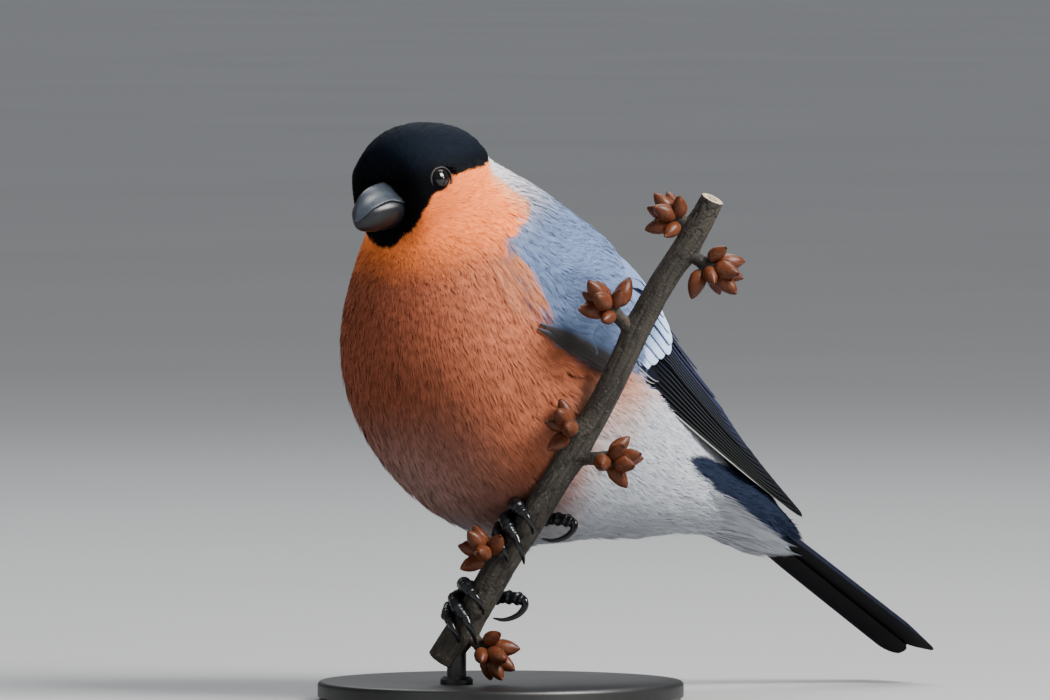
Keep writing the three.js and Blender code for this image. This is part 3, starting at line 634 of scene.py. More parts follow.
def closed_plate(top, bottom):
    """A closed thin form between two grids of points, shape (rows, columns, 3)."""
    rows, columns = top.shape[:2]
    points = np.vstack([top.reshape(-1, 3), bottom.reshape(-1, 3)])
    upper = grid_faces(rows, columns)
    upper = outward(points, upper, (top - bottom)[rows // 2, columns // 2])
    lower = upper[:, ::-1] + rows * columns
    index = np.arange(rows * columns).reshape(rows, columns)
    rim = np.concatenate([index[0], index[1:, -1], index[-1, -2::-1], index[-2:0:-1, 0]])
    after = np.roll(rim, -1)
    wall = np.stack([rim, after, after + rows * columns, rim + rows * columns], -1)
    edges = {tuple(face[[k, (k + 1) % 4]]) for face in upper[:1] for k in range(4)}
    flip = (rim[0], after[0]) in edges
    return points, np.vstack([upper, lower, wall[:, ::-1] if flip else wall])


def wing_pad(side, sunk=0.0, rows=30, columns=22):
    """The rounded pad under the coverts, narrow at the wrist, and lower by the depth sunk."""
    t = np.linspace(0, PAD_END, rows)[:, None]
    b = np.linspace(0, 1, columns)[None, :]
    half = 0.5 * (0.45 + 0.55 * np.sin(np.pi / 2 * np.clip(t / PAD_NOSE, 0, 1)))
    t, q = np.broadcast_arrays(t, 0.5 - half + 2 * half * b)
    arch = np.sqrt(np.maximum(0, 4 * b * (1 - b)))
    height = PAD_EDGE + PAD_CROWN * arch * np.sin(np.pi * (0.1 + 0.8 * t / PAD_END))
    top = on_wing(t, q, np.maximum(height - sunk, 0.2), side)
    return closed_plate(top, on_wing(t, q, np.full(q.shape, -0.1), side))


pads = [wing_pad(side) for side in (1, -1)]
print("wing pad reaches from", pads[0][0].min(0).round(1), "to", pads[0][0].max(0).round(1))

# %% [markdown]
# Under its feathers a bird is one closed skin over head, neck, trunk and thighs, while the solids
# are parts with gaps between them. Boolean unions would keep every hard seam. Here the solids are
# swollen a little so that the gaps close, remeshed as one and smoothed. The trunk is drawn again
# from its stations, because the solids cut beds into it for the wings.

# %% Blending the solids
FLESH = ("head", "neck", "torso", "rump", "thigh_left", "thigh_right")
EYE_AT = (5.2, 9.3, 1.6)


def on_eye(side, out=0.0):
    """The middle of an eye, or a place further out on its line."""
    return on_head(EYE_AT[0], side * (EYE_AT[1] + out), EYE_AT[2])


def swollen(points, faces, amount):
    normals = np.zeros_like(points)
    a, b, c = (points[faces[:, k]] for k in range(3))
    for k in range(3):
        np.add.at(normals, faces[:, k], np.cross(b - a, c - a))
    return points + unit(normals) * amount


def node_form(name):
    work = bmesh.new()
    work.from_mesh(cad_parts[name].data)
    bmesh.ops.remove_doubles(work, verts=work.verts, dist=2e-6)
    bmesh.ops.triangulate(work, faces=work.faces)
    points = np.array([vert.co for vert in work.verts])
    faces = np.array([[vert.index for vert in face.verts] for face in work.faces])
    work.free()
    return from_frame(points), faces


def blended(forms, voxel, turns, swell=0.3):
    swelled = [(swollen(points, faces, swell), faces) for points, faces in forms]
    source = mesh_object("blend_source", *gathered(swelled))
    remesh = source.modifiers.new("remesh", "REMESH")
    remesh.mode, remesh.voxel_size = "VOXEL", voxel * MM
    smooth = source.modifiers.new("smooth", "SMOOTH")
    smooth.factor, smooth.iterations = 0.5, turns
    shape = source.evaluated_get(bpy.context.evaluated_depsgraph_get()).to_mesh()
    out = np.empty(len(shape.vertices) * 3, np.float32)
    shape.vertices.foreach_get("co", out)
    quads = np.array([face.vertices[:] for face in shape.polygons])
    bpy.data.objects.remove(source)
    return from_frame(out.reshape(-1, 3)), quads


def normals_of(points, quads):
    a, b, c, d = (points[quads[:, k]] for k in range(4))
    face_normal = np.cross(c - a, d - b)
    total = np.zeros_like(points)
    for k in range(4):
        np.add.at(total, quads[:, k], face_normal)
    return unit(total)


def trunk_form(rows=61, sides=64):
    """The trunk without the beds that the solids cut for the wings, a little hollow at the vent."""
    t = np.linspace(0, 1, rows)
    centre = np.stack([0 * t, *spline(TRUNK[:, :2], t).T], -1)
    girth = spline(TRUNK[:, 2:], t, even=False)
    way = unit(np.gradient(centre, axis=0))
    up = np.stack([0 * t, -way[:, 2], way[:, 1]], -1)
    turn = spins(sides)[None, :, None]
    vent = 1 - 0.1 * np.exp(-(((t - 0.63) / 0.06) ** 2))[:, None, None] * np.maximum(0, -np.sin(turn))
    rings = (centre[:, None] + np.cos(turn) * (girth[:, 0, None] * [1, 0, 0])[:, None]
             + np.sin(turn) * vent * (girth[:, 1, None] * up)[:, None])
    return capped(rings)


def one_kind(form):
    """The same form with all its faces as triangles."""
    points, groups = gathered([form])
    corners = {3: [[0, 1, 2]], 4: [[0, 1, 2], [0, 2, 3]]}
    return points, np.vstack([part[:, tri] for part in groups for tri in corners[part.shape[1]]])


eyes = [ball(on_eye(side), 2.5) for side in (1, -1)]
solids = [node_form(name) for name in ("head", "thigh_left", "thigh_right")]
flesh = [one_kind(form) for form in (*solids, trunk_form(), *eyes)]
print(len(flesh), "forms under the skin")

# %% [markdown]
# Feathers lie over skin and wing pad alike, so the forms are blended twice: with the pads this
# gives the surface that the coat lies on, and without them the body that carries the skin. The
# coat stands out most over nape and mantle, and the skin sits under it by the coat's depth.

# %% Skin


class Surface:
    """A closed form to grow feathers on, or to hide under them."""

    def __init__(self, forms, turns, depth=None):
        self.points, self.quads = blended(forms, 0.9, turns)
        self.normals = normals_of(self.points, self.quads)
        if depth:
            self.points = self.points + self.normals * depth(self.points)[:, None]
        self.tree = BVHTree.FromPolygons(self.points.tolist(), self.quads.tolist())

    def nearest(self, points):
        found = [self.tree.find_nearest(point) for point in points]
        index = np.array([item[2] for item in found])
        return np.array([item[0] for item in found]), unit(self.normals[self.quads[index]].mean(1))


FLUFF = 1.5


def fluff(points):
    """How much the coat stands out over nape and mantle, where the feathers are loose and deep."""
    along, round_, _ = trunk_place(points)
    f, _, h = head_place(points)
    back = smoothstep(70, 30, np.abs(round_)) * smoothstep(0.42, 0.25, along) * smoothstep(-9, -16, f)
    nape = 0.6 * smoothstep(-5, -13, f) * smoothstep(0, 4, h)
    return FLUFF * np.maximum(back, nape)


lie = Surface(flesh + [one_kind(pad) for pad in pads], 16, fluff)
body = Surface(flesh, 12)
print("lie", len(lie.points), "points; body", len(body.points), "points")


def coat_depth(points):
    """How thick the coat lies, thin at the face and full on the breast and flanks."""
    from_bill = np.linalg.norm(points - on_head(11, 0, -3.5), axis=-1)
    return lerp(0.45, 1.3, smoothstep(4, 34, from_bill)) + 0.4 * smoothstep(26, 44, from_bill)


skin_finish = Finish("skin", Roughness=0.95, Specular_IOR_Level=0.05)
skin_finish.colour(skin_finish.painted())
skin_finish.grain(2200, 0.4, 0.0003, stretch=(1, 0.4, 1))
skin_depth = (coat_depth(body.points) + 0.3)[:, None]
skin = mesh_object("skin", body.points - body.normals * skin_depth, body.quads, skin_finish.material)
# The skin takes the markings, darker by 0.7: painted shade for the depth under the coat.
paint(skin, "plumage", plumage(body.points) * 0.7)
settle(skin, "breast_plumage", *FLESH)

# %% [markdown]
# Feathers lie from the bill back: over the head they part from the bill, and over the body they
# run with the trunk. On the wing they run with the wing. This gives each place its direction.

# %% The lie of the coat
BILL_ROOT = on_head(10.5, 0, -3.5)


def tree_of(points):
    tree = KDTree(len(points))
    for index, point in enumerate(points):
        tree.insert(point, index)
    tree.balance()
    return tree


sheet_grid = np.meshgrid(np.linspace(0, 1, 81), np.linspace(0, 1, 31), indexing="ij")
sheet_t, sheet_q = (axis.ravel() for axis in sheet_grid)
sheet_tree = tree_of(on_wing(sheet_t, sheet_q, np.full(sheet_t.shape, 1.5)))
print("the wing's sheet has", len(sheet_t), "places")


def wing_place(points):
    """Part along and part down the nearer wing, and the gap to its sheet."""
    folded = np.array(points)
    folded[:, 0] = np.abs(folded[:, 0])
    found = [sheet_tree.find(point) for point in folded]
    index = np.array([item[1] for item in found])
    return sheet_t[index], sheet_q[index], np.array([item[2] for item in found])


def lie_way(points, normals):
    """The way a feather lies at each place, along the form."""
    _, _, way = trunk_place(points)
    along_body = np.concatenate([np.zeros((len(points), 1)), way], -1)
    flow = blend(along_body, unit(points - BILL_ROOT), near_head(points, 25, 13))
    t, q, gap = wing_place(points)
    wing_way = unit(wing_sheet(np.minimum(t + 0.04, 1), q) - wing_sheet(np.maximum(t - 0.02, 0), q))
    wing_way[:, 0] *= np.sign(points[:, 0])
    flow = blend(flow, wing_way, smoothstep(5, 3, gap) * smoothstep(0.02, 0.12, t))
    return unit(flow - normals * (flow * normals).sum(-1, keepdims=True))


# %% [markdown]
# Each feather starts at a root on the lie. Roots are spread at a spacing that grows from the
# face to the flanks, so that the feathers do too: about 2 mm long beside the bill and 11 mm on
# the belly, as on the real bird.

# %% Roots
# A root keeps others away by this share of its feather's length
CLOSE, TRIES = 0.165, 120000
# Distance from the bill, and the length of a feather there
LENGTHS = np.array([
    (0, 1.4), (3, 1.8), (8, 2.6), (14, 3.6), (22, 5.2), (34, 7.6), (60, 9.2), (100, 10.5),
])


def eye_distance(points):
    """How far each place is from the nearer eye's middle."""
    return np.minimum(*(np.linalg.norm(points - on_eye(side, 0.6), axis=-1) for side in (1, -1)))


def feather_length(points):
    long = edge_at(LENGTHS, np.linalg.norm(points - BILL_ROOT, axis=-1))
    t, _, gap = wing_place(points)
    long = lerp(long, np.interp(t, [0, 0.35], [4.0, 6.5]), smoothstep(5, 3.5, gap) * smoothstep(0, 0.08, t))
    ahead = smoothstep(4, 6, head_place(points)[0])
    return lerp(long, np.clip(eye_distance(points) - 2.3, 0.7, long), ahead)


def spread_roots(surface, count=TRIES, close=CLOSE):
    """Random places on a form, thinned out to the spacing of its feathers."""
    a, b, c, d = (surface.points[surface.quads[:, k]] for k in range(4))
    area = np.linalg.norm(np.cross(c - a, d - b), axis=-1) / 2
    weight = area / feather_length((a + b + c + d) / 4) ** 2
    pick = rng.choice(len(surface.quads), count, p=weight / weight.sum())
    u, v = rng.random((2, count, 1))
    points = lerp(lerp(a[pick], b[pick], u), lerp(d[pick], c[pick], u), v)
    tree, spacing = tree_of(points), feather_length(points) * close
    free, keep = np.ones(count, bool), []
    for index in range(count):
        if free[index]:
            keep.append(index)
            for _, other, _ in tree.find_range(points[index], spacing[index]):
                free[other] = False
    return points[keep]


def bare(points, limit=0.93):
    """Places where no body feather grows: bill, eyes, and what the long wing feathers hide."""
    f, l, h = head_place(points)
    t, q, gap = wing_place(points)
    covered = (gap < 4.6) & (t > 0.31) & (q > 0.03) & (q < limit)
    front_edge = (gap < 3.2) & (t > 0.05) & (t < 0.28) & (q > 0.885) & (q < 0.985)
    in_bill = (f > 9.3) & (np.abs(l) < 5) & (h < 1.6) & (h > -7.2)
    return covered | front_edge | in_bill | (eye_distance(points) < 2.62)


def low_part(points):
    """Places that lie on the body alone, under and behind the wing, rather than over the pad."""
    along, round_, _ = trunk_place(points)
    _, q, gap = wing_place(points)
    return (along > 0.35) & (np.abs(round_) > 62) & ((gap > 3.4) | (q > 0.93)) | (along > 0.6)


upper, _ = lie.nearest(spread_roots(lie))
# The nape is hollow, so that it takes more feathers to close over
more, _ = lie.nearest(spread_roots(lie, TRIES // 2, CLOSE * 0.85))
f, _, h = head_place(more)
at_nape = (f < -6) & (h < 2) & (h > -22) & (np.linalg.norm(more - HEAD_AT, axis=-1) < 34)
upper = np.vstack([upper, more[at_nape]])
upper = upper[~bare(upper) & ~low_part(upper)]
lower, _ = body.nearest(spread_roots(body))
t, q, gap = wing_place(lower)
under_pad = (gap < 4.6) & (t > 0.02) & (t < 0.33) & (q < 0.93)
lower = lower[~bare(lower, 0.72) & low_part(lower) & ~under_pad & (trunk_place(lower)[0] < 0.9)]
print(len(upper), "feathers on head, breast and back,", len(lower), "on belly and rump")

# %% [markdown]
# A contour feather is a fan of fine barbs. Here each is a row of narrow blades that leave the
# shaft low down and reach the rounded edge, so the surface breaks into the fine streaks that
# the photo shows. Hair strands would be quicker to make, but the export needs solid meshes. The
# fan follows the body by a path of four points and by the body's roundness across it.

# %% Paths for feathers


def bend(nodes, x):
    """Values at x from four nodes at 0, 1/3, 2/3 and 1 along a feather. x is (n, ...)."""
    extra = (1,) * (x.ndim - 1)
    total = 0
    for k in range(4):
        weight = np.ones_like(x)
        for m in range(4):
            if m != k:
                weight = weight * (3 * x - m) / (k - m)
        total = total + weight[..., None] * nodes[:, k].reshape(len(x), *extra, 3)
    return total


def paths_over(surface, roots, long, jitter=0.1):
    place, up = surface.nearest(roots)
    places, ups = [place], [up]
    turn = rng.normal(0, jitter, len(roots))[:, None]
    for _ in range(3):
        way = lie_way(places[-1], ups[-1])
        way = unit(way + turn * np.cross(ups[-1], way))
        place, up = surface.nearest(places[-1] + way * (long / 3)[:, None])
        places.append(place)
        ups.append(unit(up + ups[-1]))
    return np.stack(places, 1), np.stack(ups, 1)


def roundness(surface, paths, ups, wide):
    """How far the form falls away across each feather, for each square millimetre of offset."""
    way = unit(paths[:, 3] - paths[:, 0])
    across = unit(np.cross(ups[:, 2], way))
    fall = 0
    for side in (-0.5, 0.5):
        offset = side * wide[:, None]
        place, _ = surface.nearest(paths[:, 2] + across * offset)
        fall = fall + ((place - paths[:, 2]) * ups[:, 2]).sum(-1) / offset[:, 0] ** 2 / 2
    return np.clip(fall, -0.06, 0.01)


# %% [markdown]
# The blades of one feather are placed on a flat fan first. Then the fan is laid along its path,
# ruffled a little, and made to rise steadily, so that each feather lies over the next one back.

# %% Feathers from blades


def fan(blades, narrow=0.62, tip=0.34):
    """Blade places on one feather, as parts of its length and half width: (blades, 5) each."""
    a = np.linspace(-1, 1, blades)
    tip_x = 1 - tip * np.abs(a) ** 2.4
    base_x = tip_x - narrow * (1 - 0.3 * np.abs(a))
    middle_x = (tip_x + base_x) / 2 + 0.04
    half = 1.3 / blades
    x = np.stack([base_x, base_x, middle_x, middle_x, tip_x], -1)
    y = np.stack([0.35 * a - 0.6 * half, 0.35 * a + 0.6 * half, 0.8 * a - half, 0.8 * a + half, a], -1)
    return x, y


BLADE_FACES = np.array([[0, 3, 1], [0, 2, 3], [2, 4, 3]])


def feather_mesh(paths, ups, wide, fall, rise, blades, shape=None, curl=0.06, ruffle=0.08):
    """The blades of many feathers: points, faces, places on the feather and the way up."""
    count = len(paths)
    x, y = (np.broadcast_to(part, (count, blades, 5)).copy() for part in shape or fan(blades))
    wide, fall, start, end = (np.broadcast_to(part, count)[:, None, None] for part in (wide, fall, *rise))
    loose = rng.normal(0, ruffle, (2, count, blades))
    x[:, :, 4] += loose[0]
    x[:, :, 2:4] += loose[0, :, :, None] / 2
    y[:, :, 4] += loose[1] * 1.3
    x = np.clip(x, 0, 1.12)
    offset = y * wide / 2
    centre, up = bend(paths, x), unit(bend(ups, np.clip(x, 0, 1)))
    way = unit(paths[:, [1, 2, 3, 3]] - paths[:, [0, 1, 2, 2]])
    across = unit(np.cross(up, bend(way, np.clip(x, 0, 1))))
    tilt = rng.normal(0, 0.03, (count, blades, 1)) * np.array([-1, 1, -1, 1, 0])
    height = start + (end - start) * np.clip(x, 0, 1.1) ** 0.9 + fall * offset**2
    height = height - curl * np.clip(y, -1.2, 1.2) ** 2 * x * 0.5 + tilt
    points = centre + across * offset[..., None] + up * height[..., None]
    faces = (np.arange(count * blades)[:, None, None] * 5 + BLADE_FACES).reshape(-1, 3)
    return points.reshape(-1, 3), faces, x, y, up


def region_uv(roots, x, y):
    """A tiny patch for each feather at its root's place on the unrolled skin."""
    along, round_, _ = trunk_place(roots)
    ahead = head_place(roots)[0]
    base = np.stack([round_, along * 320 - near_head(roots) * (30 + 3 * ahead)], -1)
    base = (base - base.min(0)) / np.ptp(base, axis=0) * 0.98 + 0.01
    patch = np.stack([0.5 * y, x - 0.5], -1) * 0.003
    return (base[:, None, None] + patch).reshape(-1, 2)


# %% [markdown]
# The barbs take their colour from the markings, with small changes from feather to feather. Their
# normals are turned most of the way to the body's own, so that light runs softly over the coat.

# %% Coat pieces
coat_finish = Finish("plumage", Roughness=0.8, Specular_IOR_Level=0.12)
cap_finish = Finish("cap_plumage", Roughness=0.7, Specular_IOR_Level=0.045)
for finish in (coat_finish, cap_finish):
    finish.colour(finish.painted())
# For the five points of a blade: how far its colour comes from its tip, and how light it is
FROM_TIP = np.array([0.75, 0.75, 0.45, 0.45, 0.25])[:, None]
BLADE_SHADE = np.array([0.85, 0.85, 0.94, 0.94, 1.03])[:, None]


def coat_piece(name, slot, paths, ups, wide, fall, rise, blades, tint, soft=0.87, finish=coat_finish,
               **shape):
    points, faces, x, y, up = feather_mesh(paths, ups, wide, fall, rise, blades, **shape)
    thing = mesh_object(name, points, faces, finish.material)
    paint(thing, "plumage", tint(points.reshape(x.shape + (3,)), x, y).reshape(-1, 3))
    lay_uv(thing, region_uv(paths[:, 0], x, y))
    own, up = np.empty(len(points) * 3, np.float32), up.reshape(-1, 3)
    thing.data.vertices.foreach_get("normal", own)
    own = own.reshape(-1, 3)
    own = own * np.sign((own * up).sum(-1, keepdims=True) + 1e-6)
    thing.data.normals_split_custom_set_from_vertices(unit(lerp(own, up, soft)).tolist())
    return settle(thing, slot)


def natural_tint(points, x, y):
    """The marking where each barb shows, varied a little from feather to feather and barb to barb."""
    count, blades = points.shape[:2]
    shown = lerp(points, points[:, :, 4:5], FROM_TIP)
    colour = plumage(shown.reshape(-1, 3)).reshape(points.shape)
    vary = 1 + rng.normal(0, 0.03, (count, 1, 1, 1)) + rng.normal(0, 0.085, (count, blades, 1, 1))
    odd = rng.random((count, blades, 1, 1))
    vary = vary * np.where(odd < 0.02, 0.8, np.where(odd > 0.98, 1.2, 1))
    return colour * vary * BLADE_SHADE


def grow(name, slot, surface, roots, blades, length=1.0, **look):
    long = feather_length(roots) * rng.uniform(0.9, 1.1, len(roots)) * length
    paths, ups = paths_over(surface, roots, long)
    wide, depth = long / 2, coat_depth(roots)
    rise = (-depth * 0.9, depth * rng.uniform(-0.06, 0.08, len(depth)))
    fall = roundness(surface, paths, ups, wide)
    return coat_piece(name, slot, paths, ups, wide, fall, rise, blades, natural_tint, **look)


# %% [markdown]
# Each part of the coat is a piece of its own, with fewer blades to a feather where they are small.

# %% Growing the coat


def parts_of(points):
    _, round_, _ = trunk_place(points)
    to_head = np.linalg.norm(points - HEAD_AT, axis=-1)
    crown = (to_head < 19) & (plumage(points)[:, 0] < 0.1)
    face = (to_head < 24) & ~crown
    mantle = ~crown & ~face & (np.abs(round_) < 78)
    return dict(crown=crown, face=face, mantle=mantle, breast=~crown & ~face & ~mantle)


upper_parts = parts_of(upper)
rump = trunk_place(lower)[0] > 0.62
grow("coat_crown", "cap_plumage", lie, upper[upper_parts["crown"]], 9, finish=cap_finish)
grow("coat_face", "breast_plumage", lie, upper[upper_parts["face"]], 13)
grow("coat_breast", "breast_plumage", lie, upper[upper_parts["breast"]], 19)
grow("coat_mantle", "mantle_plumage", lie, upper[upper_parts["mantle"]], 17)
grow("coat_belly", "vent_plumage", body, lower[~rump], 19)
grow("coat_rump", "vent_plumage", body, lower[rump], 17, length=1.15)

# %% [markdown]
# From the side of the breast long loose strands hang over the bend of the wing.

# %% Strands at the wing bend
STRANDS, strand_roots = 110, []
for side in (1, -1):
    along, round_ = rng.uniform(0.11, 0.21, STRANDS), rng.uniform(88, 104, STRANDS)
    centre, girth, way = (np.stack([np.interp(along, TRUNK_STEPS, line[:, k]) for k in (0, 1)], -1)
                          for line in (TRUNK_LINE, TRUNK_GIRTH, TRUNK_WAY))
    turn = np.radians(round_)
    out = girth[:, 1:] * np.cos(turn)[:, None] * np.stack([-way[:, 1], way[:, 0]], -1)
    strand_roots.append(np.column_stack([side * girth[:, 0] * np.sin(turn), centre + out]))
strand_roots = np.vstack(strand_roots)
long = rng.uniform(7, 11, len(strand_roots))
paths, ups = paths_over(lie, strand_roots, long, 0.06)
wide = long * 0.13


def strand_tint(points, x, y):
    vary = 1 + rng.normal(0, 0.16, (*points.shape[:2], 1, 1))
    return lerp(FLANK, PEACH, 0.25) * vary * lerp(0.75, 1.05, x)[..., None]


x, y = fan(5, narrow=0.85, tip=0.2)
y[:, :4] = y[:, 4:5] * 0.9 + (y[:, :4] - y[:, 4:5]) * [0.2, 0.2, 0.3, 0.3]
coat_piece("breast_strands", "breast_plumage", paths, ups, wide, roundness(lie, paths, ups, wide),
           (-1.0, rng.uniform(0.4, 1.0, len(long))), 5, strand_tint, shape=(x, y))

# %% [markdown]
# The long feathers of wing and tail are closed vanes. Each has a shaft, nearer the outer edge in
# the wing, two webs that thin out to their edges, and a rounded tip. Thin pale edges and the
# fine slanting lines of the barbs are what makes such a feather read as one. The lines are a
# bump on the material, because a barb is far too fine to be a mesh.

# %% Vanes
WEB_COLUMNS = np.array([-1, -0.93, -0.62, -0.26, 0.1, 0.36, 0.45, 0.5, 0.55, 0.66, 0.85, 0.94, 1])


def web(place, wide, length, level, shaft=0.5, tilt=0.1, sunk=0.25, tip=0.2, root=0.6, rows=26,
        thick=(0.32, 0.14), bow=0.012):
    """One closed vane on the bed that place(x, y, lift) gives, x from 0 to 1 along it and y in mm."""
    x = 1 - (1 - np.linspace(0, 1, rows)) ** 1.5
    lean = 1 - np.abs(WEB_COLUMNS - 0.5) / np.where(WEB_COLUMNS > 0.5, 0.5, 1.5)
    columns = WEB_COLUMNS + (shaft - 0.5) * lean
    full = wide / 2 * (root + (1 - root) * smoothstep(0, 0.5, x))
    half = full * np.sqrt(1 - np.clip((x - 1 + tip) / tip, 0, 0.985) ** 2)
    y = columns * half[:, None] + (shaft * 0.8 * (full - half))[:, None]
    x, c = np.broadcast_arrays(x[:, None], columns)
    free = np.minimum(1, sunk + 2.6 * x)
    quill = np.clip(1 - np.abs(c - shaft) / 0.06, 0, 1) * 0.16 * (1 - 0.6 * x)
    top = level * free + tilt * y - bow * (y - shaft * wide / 2) ** 2
    deep = lerp(thick[0], thick[1], x) * (1 - 0.55 * np.abs(c) ** 3)
    points, faces = closed_plate(place(x, y, top + quill), place(x, y, top - deep))
    off = np.abs(y - shaft * half[:, None])
    barb = np.stack([length * x - 1.3 * off, off, np.full(x.shape, level * 7)], -1)
    return points, faces, x, c, y, barb


def web_piece(name, slot, finish, webs, tints, *nodes, under=1.0):
    """One piece from many vanes. Their undersides are darker by the share that under gives: partly their own
    duller colour, partly painted shade.
    """
    thing = mesh_object(name, *gathered([item[:2] for item in webs]), finish.material)

    def both(grid, share=1):
        return np.vstack([grid.reshape(-1, 3), grid.reshape(-1, 3) * share])

    paint(thing, "plumage", np.vstack([both(tint, under) for tint in tints]))
    measure(thing, "barb", np.vstack([both(item[5]) for item in webs]))
    return settle(thing, slot, *nodes)


def web_finish(name, **values):
    """Faint streaks in the colour, and a bump for the slanting barbs."""
    finish = Finish(name, **values)
    barb = finish.place("barb")
    streaks = finish.ramp(finish.noise(barb, 3.2, stretch=(1, 0.08, 1)), (0.35, grey(0)), (0.7, grey(0.3)))
    finish.colour(finish.mix(streaks, finish.painted(), grey(0.0025), "ADD"))
    lines = finish.add("ShaderNodeTexWave", {"Vector": barb, "Scale": 0.9, "Distortion": 0.6}).outputs["Fac"]
    finish.bump(lines, 0.35, 0.00006)
    return finish


# %% [markdown]
# The folded wing shows its primaries, the long feathers of the hand, below its secondaries and
# tertials. Each row is a short recipe: where its first and last feather are rooted, where
# their tips lie, and how high they are stacked. A loop makes the feathers in between.

# %% Long wing feathers
# The violet is a painted sheen, laid into the colour of glossy feathers by their gloss share.
FLIGHT, VIOLET_SHEEN = np.array([0.0024, 0.0024, 0.0028]), np.array([0.016, 0.019, 0.050])
EDGE, PALE_EDGE = np.array([0.052, 0.056, 0.054]), np.array([0.30, 0.32, 0.31])
WING_LONG = 97


def flight_tint(x, c, edge, edge_from, gloss):
    shade = blend(FLIGHT, VIOLET_SHEEN, gloss * smoothstep(-0.6, 0.5, c))
    shade = shade * (1 + 0.25 * (c < 0.45))[..., None]
    return blend(shade, edge, smoothstep(edge_from, edge_from + 0.04, c) * smoothstep(0.1, 0.3, x))


flight_finish = web_finish("flight_feathers", Roughness=0.48, Specular_IOR_Level=0.06)
FLIGHT_ROWS = {
    "primaries": dict(count=9, roots=[[0.3, 0.86], [0.34, 0.5]], tips=[[1, 0.56], [0.8, 0.44]],
                      wide=7, lie=[0.2, 2.6], gloss=[0, 0.2], tip=0.16),
    "secondaries": dict(count=6, roots=[[0.33, 0.48], [0.34, 0.36]], tips=[[0.77, 0.41], [0.67, 0.32]],
                        wide=8.2, lie=[2.85, 3.9], gloss=[0.5, 1], tip=0.13),
    "tertials": dict(count=3, roots=[[0.32, 0.3], [0.3, 0.2]], tips=[[0.64, 0.26], [0.5, 0.16]],
                     wide=8.6, lie=[4.1, 4.8], gloss=[1, 1], tip=0.24),
    "primary coverts": dict(count=6, roots=[[0.24, 0.93], [0.25, 0.78]], tips=[[0.38, 0.93], [0.42, 0.78]],
                            wide=4.2, lie=[0.7, 2.2], gloss=[0, 0.2], tip=0.3),
}


def wing_path(root, tip, x, y):
    """Part along and part down the wing, for x along a vane and y mm across it."""
    t, q = lerp(root[0], tip[0], x), lerp(root[1], tip[1], x)
    return t, q + y / np.linalg.norm(wing_sheet(t, 1) - wing_sheet(t, 0), axis=-1)


def along_wing(side, root, tip, inset=0.02):
    def place(x, y, lift):
        t, q = wing_path(root, tip, x, y)
        return on_wing(t, np.clip(q, inset, 1 - inset / 2), lift, side)
    return place


def between(pair, share):
    return lerp(np.array(pair[0], float), np.array(pair[1], float), share)


for side, hand in HANDS:
    webs, tints = [], []
    for kind, row in FLIGHT_ROWS.items():
        for k in range(row["count"]):
            share = k / (row["count"] - 1)
            root, tip = between(row["roots"], share), between(row["tips"], share)
            length = WING_LONG * np.hypot(*(tip - root) * [1, 0.3])
            place = along_wing(side, root, tip, 0.02 * (1 + 2 * share))
            item = web(place, row["wide"], length, between(row["lie"], share), tip=row["tip"])
            webs.append(item)
            broad = kind == "primary coverts" or k == 0 and kind == "primaries"
            edge, start = (PALE_EDGE, 0.91) if broad else (EDGE, 0.94)
            tints.append(flight_tint(item[2], item[3], edge, start, between(row["gloss"], share)))
    web_piece(f"wing_feathers_{hand}", "wing_feathers", flight_finish, webs, tints)

# %% [markdown]
# Under the coverts each wing keeps a smooth pad, sunk by the depth of its coat.

# %% Wing pads
PAD_GREY = np.array([[0.05, 0.055, 0.065]])
for side, hand in HANDS:
    pad = mesh_object(f"wing_pad_{hand}", *wing_pad(side, PAD_COAT), skin_finish.material)
    paint(pad, "plumage", PAD_GREY)
    settle(pad, "wing_feathers", f"wing_{hand}")
print("pads are sunk by", PAD_COAT, "mm")

# %% [markdown]
# Over the bases of the long feathers come the greater coverts, broad and soft, whose pale tips
# make the bar across the wing. A darker row of small feathers follows the wing's leading edge.

# %% Coverts
BAR, DUSK = np.array([0.44, 0.56, 0.78]), np.array([0.040, 0.035, 0.034])
# Root and tip of each edge covert on the wing, its width and its lift
EDGE_ROWS = [
    ((0.015, 0.92), (0.2, 0.935), 2.7, 0.44), ((0.09, 0.915), (0.3, 0.95), 2.8, 0.42),
    ((0.01, 0.955), (0.26, 0.99), 2.9, 0.46),
]
# Down the wing: how far along it the bar ends, and how high the long feathers are stacked
COVERT_EDGE = np.array([(0.1, 0.41), (0.33, 0.445), (0.4, 0.435), (0.66, 0.375), (0.93, 0.315), (0.98, 0.3)])
STACK = np.array([
    (0.1, 5.2), (0.3, 4.6), (0.36, 4.2), (0.48, 3.4), (0.5, 3.1), (0.7, 1.8), (0.86, 0.7), (1, 0.3),
])


def shaded(colour_at, vary=0.05):
    def tint(points, x, y):
        count, blades = points.shape[:2]
        change = 1 + rng.normal(0, vary, (count, 1, 1, 1)) + rng.normal(0, vary, (count, blades, 1, 1))
        return colour_at(points, x, y) * change
    return tint


def on_lie(side, root, tip):
    """Places for a vane that lies on the coat, lifted by so much above it."""
    def place(x, y, lift):
        t, q = wing_path(root, tip, x, y)
        above = on_wing(t, q, np.full(x.shape, 2.5), side)
        near, up = lie.nearest(above.reshape(-1, 3))
        return (near + up * lift.reshape(-1, 1)).reshape(above.shape)
    return place


def bar_tint(x, c):
    shade = lerp(MANTLE, BAR, smoothstep(0.42, 0.85, x)[..., None])
    return shade * (1 - 0.08 * (smoothstep(0.93, 1, np.abs(c)) * smoothstep(0.98, 0.9, x))[..., None])


